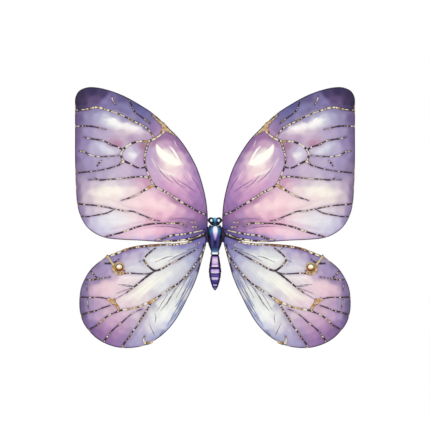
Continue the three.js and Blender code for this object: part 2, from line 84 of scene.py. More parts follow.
# A line is (points, widths, gilding, leaf): gilding 1 is unbroken leaf and 0 is bare brown ink, and
# the leaf is gold where no name is given. An ink stroke is only its points.
FOREWING_LINES = [
    ([[155, 125], [138, 115], [118, 105], [100, 93], [80, 80], [62, 70], [45, 60], [22, 50]],
     [3.8, 3.4, 3.8, 3.0, 3.4, 3.0, 2.8, 2.4], 0.5, "pale"),
    ([[165, 235], [172, 212], [176, 192], [175, 175], [165, 148], [155, 125]],
     [3.6, 2.6, 2.2, 2.4, 2.6, 3.8], 0.55),
    ([[158, 300], [145, 289], [132, 277], [125, 268], [112, 258], [95, 245]],
     [1.4, 2.6, 5.0, 8.0, 4.0, 1.4], 0.95),
    ([[125, 268], [128, 258], [148, 242], [165, 235], [188, 234], [205, 230], [220, 222], [230, 212],
      [235, 202], [230, 186]], [4.0, 3.0, 3.6, 4.6, 3.0, 3.2, 3.0, 3.8, 3.0, 3.0], 0.85),
    ([[348, 312], [325, 314], [295, 319], [262, 310], [232, 299], [205, 285], [172, 268],
      [150, 242]], [2.2, 2.4, 3.8, 2.6, 2.4, 3.0, 2.4, 2.0], 0.66),
    ([[215, 338], [210, 328], [202, 310], [188, 298], [170, 285], [162, 278]],
     [1.0, 1.8, 2.4, 1.8, 1.6, 0.8], 0.4),
    ([[230, 212], [242, 220], [258, 225], [278, 235], [292, 238], [318, 242], [328, 245]],
     [3.4, 2.4, 2.0, 2.4, 2.2, 1.8, 1.0], 0.6),
    ([[230, 186], [240, 175], [255, 170], [268, 166], [300, 160], [318, 158], [346, 155]],
     [3.4, 2.4, 1.6, 1.8, 1.2, 1.8, 2.6], 0.4),
    ([[230, 186], [212, 178], [192, 168], [173, 169]], [3.0, 2.6, 2.4, 1.8], 0.5),
    ([[340, 210], [328, 208], [312, 200], [292, 196], [262, 197], [240, 199]],
     [2.0, 2.2, 2.0, 1.8, 1.0, 0.5], 0.55),
    ([[348, 272], [338, 272], [312, 272], [295, 269], [272, 264]], [2.6, 1.8, 2.6, 1.8, 0.6], 0.55),
    ([[162, 142], [180, 146], [200, 145], [225, 142], [268, 139], [316, 138]],
     [3.0, 2.6, 2.2, 2.0, 1.4, 0.5], 0.6),
    ([[155, 125], [170, 116], [188, 105], [205, 96], [235, 86]], [3.4, 4.2, 2.4, 2.0, 0.8], 0.75),
    ([[344, 78], [325, 76], [300, 74], [275, 70], [250, 65], [225, 60], [205, 59], [188, 52],
      [170, 45], [155, 38], [138, 35]], [2.4, 2.0, 1.8, 1.8, 1.6, 1.9, 1.7, 1.6, 1.8, 1.6, 0.8], 0.5),
    ([[336, 47], [318, 46], [300, 49], [270, 55], [252, 64]], [1.8, 1.6, 1.4, 1.2, 0.6], 0.35),
    ([[275, -5], [258, 0], [238, 5], [212, 14], [195, 20], [175, 25], [155, 28], [138, 29],
      [112, 29], [88, 29], [72, 22]], [3.0, 2.6, 2.6, 2.4, 2.4, 2.2, 2.4, 2.0, 2.4, 2.8, 1.0], 0.45),
    ([[150, -13], [130, -9], [112, -2], [88, 1], [62, 5], [38, 10], [24, 14]],
     [1.0, 2.2, 2.6, 2.4, 2.6, 2.2, 1.2], 0.62, "pale"),
    ([[258, 348], [256, 338], [248, 325]], [1.2, 2.2, 1.0], 0.8),
    ([[284, 187], [290, 180], [295, 172]], [0.8, 2.6, 0.8], 0.6),
    ([[300, 142], [285, 137], [270, 139]], [0.6, 1.2, 0.6], 0.1),
    ([[140, 286], [132, 279], [127, 272], [122, 264], [110, 257]],
     [3.0, 5.5, 9.0, 6.0, 2.0], 0.98, "amber"),
    ([[126, 274], [130, 262], [134, 254]], [7.0, 5.5, 3.0], 0.95, "amber"),
    ([[152, 128], [158, 123], [166, 118], [174, 114]], [4.0, 6.0, 5.0, 2.4], 0.97, "amber"),
    ([[235, 200], [233, 192], [230, 184], [238, 177]], [4.6, 3.6, 4.6, 2.6], 0.7),
    ([[132, -15.4], [105, -15], [80, -12.2], [60, -8.4], [42, -2.4], [26, 4]],
     [1.6, 2.6, 3.0, 3.0, 2.8, 2.0], 0.62, "pale"),
]
FOREWING_INK = [
    [[150, 180], [135, 158], [118, 140], [105, 130]],
    [[95, 138], [72, 124], [45, 106]],
    [[58, 145], [46, 128], [33, 100]],
    [[112, 150], [92, 128], [70, 116]],
    [[112, 38], [85, 41], [50, 36]],
    [[60, 26], [45, 24], [30, 25]],
    [[150, 22], [110, 20], [70, 12]],
    [[185, 300], [172, 289], [160, 282]],
    [[128, 256], [116, 253], [104, 249], [96, 246]],
    [[129, 257], [118, 254.6], [106, 250.4], [97, 247]],
    [[152, 292], [143, 283], [136, 273], [131, 264]],
]
HINDWING_LINES = [
    ([[160, -168], [150, -161], [138, -152], [122, -142], [108, -132], [92, -121], [78, -108],
      [62, -90], [52, -78], [40, -60], [30, -42], [25, -27]],
     [5.0, 3.4, 2.6, 2.6, 3.2, 2.8, 3.2, 2.4, 3.0, 2.4, 2.6, 1.6], 0.5),
    ([[148, -32], [160, -41], [170, -50], [178, -61], [172, -72], [162, -82], [150, -89], [132, -84],
      [112, -72], [92, -62], [80, -55], [62, -45], [42, -33]],
     [1.2, 1.8, 2.0, 3.2, 2.2, 2.8, 3.6, 2.8, 2.2, 2.4, 1.6, 1.4, 0.8], 0.5),
    ([[239, -189], [212, -184], [192, -180], [172, -171], [160, -168]],
     [4.2, 2.8, 3.2, 3.4, 5.0], 0.8),
    ([[160, -168], [165, -178], [175, -195], [185, -210], [195, -228], [205, -240], [215, -255],
      [225, -268], [232, -279]], [4.4, 2.8, 2.4, 2.8, 2.2, 2.6, 2.4, 2.6, 3.0], 0.5),
    ([[338, -155], [312, -156], [288, -156], [268, -160], [259, -163]],
     [2.4, 1.6, 1.8, 1.6, 2.4], 0.25),
    ([[262, -163], [255, -165], [245, -178], [239, -189]], [2.5, 7.5, 4.6, 4.2], 0.98, "amber"),
    ([[334, -200], [318, -194], [300, -190], [280, -182], [262, -176]],
     [2.6, 2.0, 2.0, 1.6, 0.8], 0.4),
    ([[239, -189], [250, -194], [268, -202], [280, -212], [295, -225], [312, -235]],
     [4.0, 2.2, 2.2, 2.6, 2.0, 2.8], 0.5),
    ([[278, -268], [270, -255], [258, -240], [245, -228], [232, -218], [218, -205], [200, -192],
      [182, -185]], [3.0, 2.8, 2.2, 1.8, 1.5, 1.2, 1.0, 0.5], 0.4),
    ([[234, -96.5], [210, -95.5], [188, -97], [168, -97], [158, -94]], [2.2, 1.8, 1.6, 1.8, 1.2],
     0.22),
    ([[150, -89], [158, -95], [172, -105], [188, -118], [200, -128], [212, -137], [222, -145]],
     [3.4, 2.6, 2.8, 2.4, 3.0, 2.2, 0.8], 0.5),
    ([[276, -71], [262, -71], [248, -67], [240, -60]], [2.4, 3.0, 2.4, 0.8], 0.15),
    ([[322, -112], [305, -112], [295, -110], [262, -105]], [1.8, 2.6, 2.0, 0.5], 0.6),
    ([[312, -88], [300, -102], [290, -111]], [0.8, 2.0, 0.8], 0.5),
    ([[322, -122], [320, -130], [320, -138]], [0.6, 1.4, 0.6], 0.9, "pale"),
    ([[319, -160], [318, -172], [316, -184]], [0.5, 1.0, 0.5], 0.7, "pale"),
    ([[176, -252], [178, -263], [174, -270], [156, -267]], [1.6, 2.6, 5.0, 3.0], 0.9),
    ([[272, -52], [266, -57], [260, -66], [254, -74], [253, -86], [247, -95], [236, -98]],
     [5.4, 4.0, 3.8, 5.0, 6.0, 5.6, 2.4], 0.92),
    ([[226, -88], [230, -95], [239, -97], [248, -94]], [1.4, 4.0, 5.0, 2.0], 0.98, "amber"),
    ([[267, -158], [262, -163], [256, -167], [252, -174]], [2.5, 8.0, 9.0, 4.0], 0.99, "amber"),
    ([[250, -160], [257, -166], [252, -172]], [3.0, 7.0, 4.0], 0.99, "amber"),
    ([[168, -170], [160, -167], [154, -163], [146, -157]], [3.0, 7.0, 6.0, 3.0], 0.97, "amber"),
    ([[56, -16], [80, -21.4], [105, -24], [124, -24.6]], [1.6, 3.2, 3.0, 2.4], 0.72, "pale"),
    ([[126, -24.6], [162, -26.8], [192, -30], [218, -35.6], [232, -40.4]],
     [3.0, 3.8, 3.6, 3.8, 3.4], 0.62, "russet"),
    ([[234, -41.2], [242, -44.6], [262, -53]], [3.4, 4.0, 3.8], 0.6),
    ([[28, -22], [30, -40], [36, -66], [44, -92]], [1.2, 2.0, 1.8, 0.8], 0.3),
]
HINDWING_INK = [
    [[202, -128], [220, -125], [243, -124]],
    [[205, -131], [225, -138], [248, -147]],
    [[200, -127], [215, -129], [232, -126]],
    [[86, -118], [104, -146], [122, -176]],
    [[64, -100], [82, -130], [98, -158]],
    [[118, -148], [134, -172], [142, -186]],
    [[50, -70], [66, -98], [78, -118]],
    [[150, -196], [148, -208], [150, -220]],
    [[222, -145], [240, -155], [255, -164]],
    [[178, -62], [192, -68]],
    [[98, -132], [112, -155], [122, -172], [136, -190]],
    [[68, -125], [78, -142], [92, -168], [101, -182]],
    [[56, -100], [75, -140], [98, -188], [120, -228]],
    [[45, -85], [62, -125], [84, -165], [108, -205]],
    [[75, -162], [92, -190], [112, -217]],
    [[128, -238], [139, -252]],
    [[105, -52], [122, -56], [150, -68]],
    [[60, -40], [90, -50], [118, -66]],
    [[38, -25], [52, -32], [70, -38]],
    [[150, -252], [158, -236], [164, -222]],
    [[160, -40], [172, -31], [182, -28]],
    [[34, -50], [55, -88], [80, -120]],
]


# ---------------------------------------------------------------- curves and distances

CURVE_STEPS = 24        # between two knots, before a curve is resampled
CHUNK = 4000            # points measured at a time


def run_of(line):
    """Length along a polyline to each of its points."""
    return np.concatenate([[0], np.cumsum(np.linalg.norm(np.diff(line, axis=0), axis=1))])


def resampled(line, count):
    """The polyline taken again at even steps of its length."""
    run = run_of(line)
    at = np.linspace(0, run[-1], count)
    return np.stack([np.interp(at, run, column) for column in line.T], axis=1)


def smooth_line(points, step=2.0, closed=False):
    """Centripetal Catmull-Rom curve through the points, resampled to even steps of arc length."""
    knots = np.asarray(points, float)
    if closed:
        knots = np.vstack([knots[-1], knots, knots[:2]])
    else:
        knots = np.vstack([2 * knots[0] - knots[1], knots, 2 * knots[-1] - knots[-2]])
    p0, p1, p2, p3 = knots[:-3], knots[1:-2], knots[2:-1], knots[3:]
    d0, d1, d2 = [np.maximum(np.linalg.norm(b - a, axis=1), 1e-6)[:, None] ** 0.5
                  for a, b in ((p0, p1), (p1, p2), (p2, p3))]
    m1 = ((p1 - p0) / d0 - (p2 - p0) / (d0 + d1) + (p2 - p1) / d1) * d1
    m2 = ((p2 - p1) / d1 - (p3 - p1) / (d1 + d2) + (p3 - p2) / d2) * d1
    t = np.linspace(0, 1, CURVE_STEPS, endpoint=False)[None, :, None]
    p1, p2, m1, m2 = (a[:, None, :] for a in (p1, p2, m1, m2))
    line = ((2 * t**3 - 3 * t**2 + 1) * p1 + (t**3 - 2 * t**2 + t) * m1
            + (3 * t**2 - 2 * t**3) * p2 + (t**3 - t**2) * m2).reshape(-1, knots.shape[1])
    line = np.vstack([line, line[:1] if closed else knots[-2:-1]])
    return resampled(line, max(2, int(round(run_of(line)[-1] / step)) + 1))


def directions(line):
    """Unit direction at each point of an open line."""
    along = np.gradient(line, axis=0)
    return along / np.maximum(np.linalg.norm(along, axis=1), 1e-9)[:, None]


def inward_of(loop):
    """Unit direction into the wing at each point of a closed loop, clockwise from the front."""
    along = np.roll(loop, -1, axis=0) - np.roll(loop, 1, axis=0)
    along /= np.linalg.norm(along, axis=1)[:, None]
    return np.stack([along[:, 1], -along[:, 0]], axis=1)


def line_distance(points, line):
    """Shortest distance from each 2-D point to a polyline, as whole arrays in chunks."""
    starts, spans = line[:-1], np.diff(line, axis=0)
    length = np.maximum((spans**2).sum(1), 1e-12)
    best = np.empty(len(points))
    for first in range(0, len(points), CHUNK):
        away = points[first:first + CHUNK, None, :] - starts
        share = np.clip((away * spans).sum(2) / length, 0, 1)[..., None]
        best[first:first + CHUNK] = np.sqrt(((away - share * spans) ** 2).sum(2)).min(1)
    return best


def eased(t):
    """Smoothstep of a share from 0 to 1: three squares less two cubes."""
    return t * t * (3 - 2 * t)


def soft_step(value, low, high):
    """0 up to low, 1 from high, eased between."""
    return eased(np.clip((value - low) / (high - low), 0, 1))


def turned(sides):
    """Even angles round a full turn."""
    return np.linspace(0, 2 * np.pi, sides, endpoint=False)


def linear(hexes):
    """Hex colours as linear RGB rows."""
    rgb = np.array([[int(h[k:k + 2], 16) for k in (1, 3, 5)] for h in hexes]) / 255
    return np.where(rgb <= 0.04045, rgb / 12.92, ((rgb + 0.055) / 1.055) ** 2.4)


def wavy(length, spacing, seed):
    """A smooth random value from 0 to 1 along a run of samples, new about every spacing samples."""
    rng = np.random.default_rng(seed)
    knots = rng.random(int(length / spacing) + 3)
    at = np.arange(length) / spacing
    low = at.astype(int)
    share = eased(at - low)
    return knots[low] * (1 - share) + knots[low + 1] * share


# ---------------------------------------------------------------- meshes

def grid_faces(rows, cols, wrap=False):
    """Quads of a rows by cols grid of vertices, joined round its columns when wrap is set."""
    r = np.arange(rows - 1)[:, None]
    c = np.arange(cols if wrap else cols - 1)[None, :]
    n = (c + 1) % cols
    quads = np.stack([r * cols + c, r * cols + n, (r + 1) * cols + n, (r + 1) * cols + c], axis=2)
    return quads.reshape(-1, 4)


def ring_faces(rows, cols):
    """Quads of a grid joined round both its columns and its rows."""
    first, last = np.arange(cols), np.arange(cols) + (rows - 1) * cols
    seam = np.stack([last, np.roll(last, -1), np.roll(first, -1), first], axis=1)
    return np.vstack([grid_faces(rows, cols, wrap=True), seam])


def end_caps(rows, cols):
    """The two polygons that close a tube whose grid is joined round its columns."""
    return [np.arange(cols)[::-1], np.arange(cols) + (rows - 1) * cols]


def outward(points, quads, caps=()):
    """The faces turned so that the volume they enclose is positive."""
    a, b, c, d = (points[quads[:, k]] for k in range(4))
    volume = np.einsum("ij,ij->", a, np.cross(b, c)) + np.einsum("ij,ij->", a, np.cross(c, d))
    for cap in caps:
        fan = points[cap]
        volume += np.einsum("ij,ij->", np.broadcast_to(fan[0], fan[1:-1].shape),
                            np.cross(fan[1:-1], fan[2:]))
    turn = slice(None, None, -1) if volume < 0 else slice(None)
    return [quad[turn] for quad in quads] + [cap[turn] for cap in caps]


def linked(name, data):
    """A new object in the scene for a mesh, lamp or camera."""
    made = bpy.data.objects.new(name, data)
    bpy.context.scene.collection.objects.link(made)
    return made


def build(name, points, faces, body, material, replaces=(), attributes=None):
    """One smooth mesh piece at the origin, riding on a body."""
    mesh = bpy.data.meshes.new(name)
    mesh.from_pydata(np.asarray(points, float).tolist(), [], [f.tolist() for f in faces])
    mesh.update()
    for key, values in (attributes or {}).items():
        values = np.asarray(values, np.float32)
        if values.ndim == 2:
            layer = mesh.attributes.new(key, "FLOAT_COLOR", "POINT")
            layer.data.foreach_set("color", np.column_stack([values, np.ones(len(values))]).ravel())
        else:
            layer = mesh.attributes.new(key, "FLOAT", "POINT")
            layer.data.foreach_set("value", values)
    mesh.polygons.foreach_set("use_smooth", [True] * len(mesh.polygons))
    mesh.materials.append(material)
    piece = linked(name, mesh)
    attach(piece, body)
    if replaces:
        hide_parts(*replaces)
    return piece


# ---------------------------------------------------------------- materials

def nodes_of(name):
    """A new material, its node tree and its Principled shader."""
    material = bpy.data.materials.new(name)
    material.use_nodes = True
    tree = material.node_tree
    return material, tree, tree.nodes["Principled BSDF"]


def noise(tree, scale, detail=4.0, roughness=0.55, stretch=None):
    """Noise on object coordinates, optionally stretched along an axis."""
    place = tree.nodes.new("ShaderNodeTexCoord")
    mapping = tree.nodes.new("ShaderNodeMapping")
    if stretch:
        mapping.inputs["Scale"].default_value = stretch
    made = tree.nodes.new("ShaderNodeTexNoise")
    made.inputs["Scale"].default_value = scale
    made.inputs["Detail"].default_value = detail
    made.inputs["Roughness"].default_value = roughness
    tree.links.new(place.outputs["Object"], mapping.inputs["Vector"])
    tree.links.new(mapping.outputs["Vector"], made.inputs["Vector"])
    return made.outputs["Fac"]


def ramp(tree, value, low, high, dark=0.0, light=1.0):
    """Maps low..high to dark..light, clamped."""
    made = tree.nodes.new("ShaderNodeMapRange")
    made.inputs["From Min"].default_value = low
    made.inputs["From Max"].default_value = high
    made.inputs["To Min"].default_value = dark
    made.inputs["To Max"].default_value = light
    tree.links.new(value, made.inputs["Value"])
    return made.outputs["Result"]


def mix_colours(tree, factor, a, b, mode="MIX"):
    """Mixes two colours, each a socket or RGB: inputs 0, 6 and 7 are the factor and the colours."""
    made = tree.nodes.new("ShaderNodeMix")
    made.data_type = "RGBA"
    made.blend_type = mode
    for value, key in ((factor, 0), (a, 6), (b, 7)):
        if isinstance(value, bpy.types.NodeSocket):
            tree.links.new(value, made.inputs[key])
        elif key == 0:
            made.inputs[key].default_value = value
        else:
            made.inputs[key].default_value = (*value, 1)
    return made.outputs[2]


def attribute(tree, name, socket="Color"):
    """One of the piece's own vertex attributes."""
    made = tree.nodes.new("ShaderNodeAttribute")
    made.attribute_name = name
    return made.outputs[socket]


def bump(tree, shader, height, strength, distance):
    """Raises the surface by a height up to a distance in metres."""
    made = tree.nodes.new("ShaderNodeBump")
    made.inputs["Strength"].default_value = strength
    made.inputs["Distance"].default_value = distance
    tree.links.new(height, made.inputs["Height"])
    tree.links.new(made.outputs["Normal"], shader.inputs["Normal"])


def painted_cloth(name):
    """Printed satin: the wash attribute with watercolour blooms, granulation and a fine weave."""
    material, tree, shader = nodes_of(name)
    wash = attribute(tree, "wash")
    bloom = ramp(tree, noise(tree, 22, 5, 0.6), 0.3, 0.7, 0.965, 1.03)
    grain = ramp(tree, noise(tree, 190, 6, 0.7), 0.25, 0.75, 0.955, 1.035)
    speck = ramp(tree, noise(tree, 700, 2, 0.5), 0.3, 0.7, 0.98, 1.02)
    for value in (bloom, grain, speck):
        wash = mix_colours(tree, 1.0, wash, value, "MULTIPLY")
    tree.links.new(wash, shader.inputs["Base Color"])
    tree.links.new(ramp(tree, noise(tree, 60, 3), 0.3, 0.7, 0.5, 0.66), shader.inputs["Roughness"])
    shader.inputs["Sheen Weight"].default_value = 0.06
    shader.inputs["Specular IOR Level"].default_value = 0.3
    weave = noise(tree, 1400, 2, 0.5, (1, 1, 0.35))
    bump(tree, shader, weave, 0.25, 0.0002)
    return material


def leafed(name, rough=0.34):
    """Broken leaf: the tint attribute, metal where the metal attribute says, worn and pitted."""
    material, tree, shader = nodes_of(name)
    tint = attribute(tree, "tint")
    worn = ramp(tree, noise(tree, 420, 4, 0.6), 0.3, 0.7, 0.72, 1.12)
    tree.links.new(mix_colours(tree, 1.0, tint, worn, "MULTIPLY"), shader.inputs["Base Color"])
    tree.links.new(attribute(tree, "metal", "Fac"), shader.inputs["Metallic"])
    tree.links.new(ramp(tree, noise(tree, 260, 3), 0.3, 0.7, rough - 0.1, rough + 0.16),
                   shader.inputs["Roughness"])
    bump(tree, shader, noise(tree, 520, 3, 0.6), 0.5, 0.0006)
    return material


def enamel(name, rough=0.2):
    """Fired enamel: the tint attribute under a soft gloss."""
    material, tree, shader = nodes_of(name)
    tint = attribute(tree, "tint")
    depth = ramp(tree, noise(tree, 90, 4), 0.3, 0.7, 0.86, 1.1)
    tree.links.new(mix_colours(tree, 1.0, tint, depth, "MULTIPLY"), shader.inputs["Base Color"])
    tree.links.new(ramp(tree, noise(tree, 150, 3), 0.3, 0.7, rough, rough + 0.08),
                   shader.inputs["Roughness"])
    shader.inputs["Specular IOR Level"].default_value = 0.12
    return material


def plain(name, colour, rough, metallic=0.0, grain=300, depth=0.0003, strength=0.3, stretch=None):
    """A single-finish part: colour varied by two noises, with grain in its bump."""
    material, tree, shader = nodes_of(name)
    base = linear([colour])[0]
    value = ramp(tree, noise(tree, 40, 4), 0.3, 0.7, 0.82, 1.12)
    fine = ramp(tree, noise(tree, grain, 3, 0.6, stretch), 0.3, 0.7, 0.86, 1.1)
    tinted = mix_colours(tree, 1.0, tuple(base), value, "MULTIPLY")
    tree.links.new(mix_colours(tree, 1.0, tinted, fine, "MULTIPLY"), shader.inputs["Base Color"])
    shader.inputs["Metallic"].default_value = metallic
    tree.links.new(ramp(tree, noise(tree, grain * 0.6, 3, 0.6, stretch), 0.3, 0.7, rough * 0.85,
                        min(rough * 1.15, 1)), shader.inputs["Roughness"])
    bump(tree, shader, noise(tree, grain, 3, 0.6, stretch), strength, depth)
    return material


FOREWING_SATIN = painted_cloth("forewing satin")
HINDWING_SATIN = painted_cloth("hindwing satin")
GOLD_LEAF = leafed("gold leaf")
WIRE_LACQUER = leafed("edge wire", 0.42)
ENAMEL = enamel("body enamel")
EYE_GLASS = enamel("eye glass", 0.06)
PEARL = enamel("pearl")

STEEL = plain("brushed steel", "#b8b8bc", 0.3, 1.0, 900, 0.0002, 0.4, (1, 1, 0.1))
HINGE_STEEL = plain("plum lacquered steel", "#5b4577", 0.42, 0.5, 500, 0.0002)
HARNESS_PLASTIC = plain("moulded plum plastic", "#4a3a68", 0.5, 0.0, 800, 0.00025, 0.5)


def waves(tree, value, per_metre):
    """Sine of a length, with so many waves in each metre."""
    turn = tree.nodes.new("ShaderNodeMath")
    turn.operation = "MULTIPLY"
    turn.inputs[1].default_value = per_metre * 2 * np.pi
    wave = tree.nodes.new("ShaderNodeMath")
    wave.operation = "SINE"
    tree.links.new(value, turn.inputs[0])
    tree.links.new(turn.outputs[0], wave.inputs[0])
    return wave.outputs[0]


def woven(name, colour, light, ribs):
    """Elastic webbing: lengthwise ribs across X, crossed by picks along its run attribute."""
    material, tree, shader = nodes_of(name)
    place = tree.nodes.new("ShaderNodeTexCoord")
    axes = tree.nodes.new("ShaderNodeSeparateXYZ")
    tree.links.new(place.outputs["Object"], axes.inputs["Vector"])
    cross = tree.nodes.new("ShaderNodeMath")
    cross.operation = "MULTIPLY"
    tree.links.new(waves(tree, axes.outputs["X"], ribs), cross.inputs[0])
    tree.links.new(waves(tree, attribute(tree, "run", "Fac"), ribs * 0.6), cross.inputs[1])
    weave = ramp(tree, cross.outputs[0], -1, 1)
    fuzz = ramp(tree, noise(tree, 900, 3, 0.7), 0.3, 0.7, 0.85, 1.12)
    base = mix_colours(tree, weave, tuple(linear([colour])[0]), tuple(linear([light])[0]))
    tree.links.new(mix_colours(tree, 1.0, base, fuzz, "MULTIPLY"), shader.inputs["Base Color"])
    tree.links.new(ramp(tree, noise(tree, 200, 2), 0.3, 0.7, 0.8, 0.95), shader.inputs["Roughness"])
    shader.inputs["Sheen Weight"].default_value = 0.3
    bump(tree, shader, weave, 0.6, 0.0004)
    return material


ELASTIC = woven("plum elastic webbing", "#241f2c", "#463c55", 700)
PAD_CLOTH = plain("brushed plum jersey", "#3a324c", 0.92, 0.0, 1300, 0.0006, 0.9)
PIPING_CLOTH = plain("lilac piping", "#7d6a9c", 0.8, 0.0, 900, 0.0003)


# ---------------------------------------------------------------- painting

LATTICE = 64            # knots each way before a cloud repeats
WARP_CELL = 17          # millimetres between the knots that bend a wash's edges
WARP = 5                # and how far they bend it
STOP_SOFTNESS = 10      # square millimetres added to every distance, so that no stop makes a spot


def cloud(x, y, seed):
    """Smooth random field from 0 to 1: a random lattice blended with smoothstep weights."""
    table = np.random.default_rng(seed).random((LATTICE, LATTICE))
    column, row = np.floor(x).astype(int), np.floor(y).astype(int)
    right, up = eased(x - column), eased(y - row)
    c0, c1, r0, r1 = column % LATTICE, (column + 1) % LATTICE, row % LATTICE, (row + 1) % LATTICE
    low = table[c0, r0] * (1 - right) + table[c1, r0] * right
    high = table[c0, r1] * (1 - right) + table[c1, r1] * right
    return low * (1 - up) + high * up


def washes(points, stops, seed):
    """Blend of colour stops: each weighs one over the fourth power of its distance, warped a little."""
    x, z = points[:, 0] / WARP_CELL, points[:, 1] / WARP_CELL
    warp = np.stack([cloud(x, z, seed) - 0.5, cloud(x, z, seed + 1) - 0.5], 1) * WARP
    places = np.array([stop[:2] for stop in stops], float)
    colours = linear([stop[2] for stop in stops])
    square = (((points + warp)[:, None, :] - places) ** 2).sum(2) + STOP_SOFTNESS
    weight = square ** -2.0
    return (weight @ colours) / weight.sum(1)[:, None]


def stroke(points, path, soft):
    """Cover of a brush stroke, 0 to 1: path rows are [out, up, half width], faded over soft."""
    line = smooth_line(path, 1.5)
    gap = np.sqrt(((points[:, None, :] - line[:, :2]) ** 2).sum(2)) - line[:, 2]
    return 1 - soft_step(gap.min(1), -soft / 2, soft / 2)


def layered(base, cover, colour):
    """A colour laid over the base, as opaque as cover says at each point."""
    tint = linear([colour])[0] if isinstance(colour, str) else colour
    return base * (1 - cover[:, None]) + tint * cover[:, None]


def blend_rows(value, stops):
    """Colours along a value: stops are [value, hex], blended in linear light between them."""
    at = np.array([stop[0] for stop in stops], float)
    colours = linear([stop[1] for stop in stops])
    return np.stack([np.interp(value, at, colours[:, k]) for k in range(3)], axis=1)


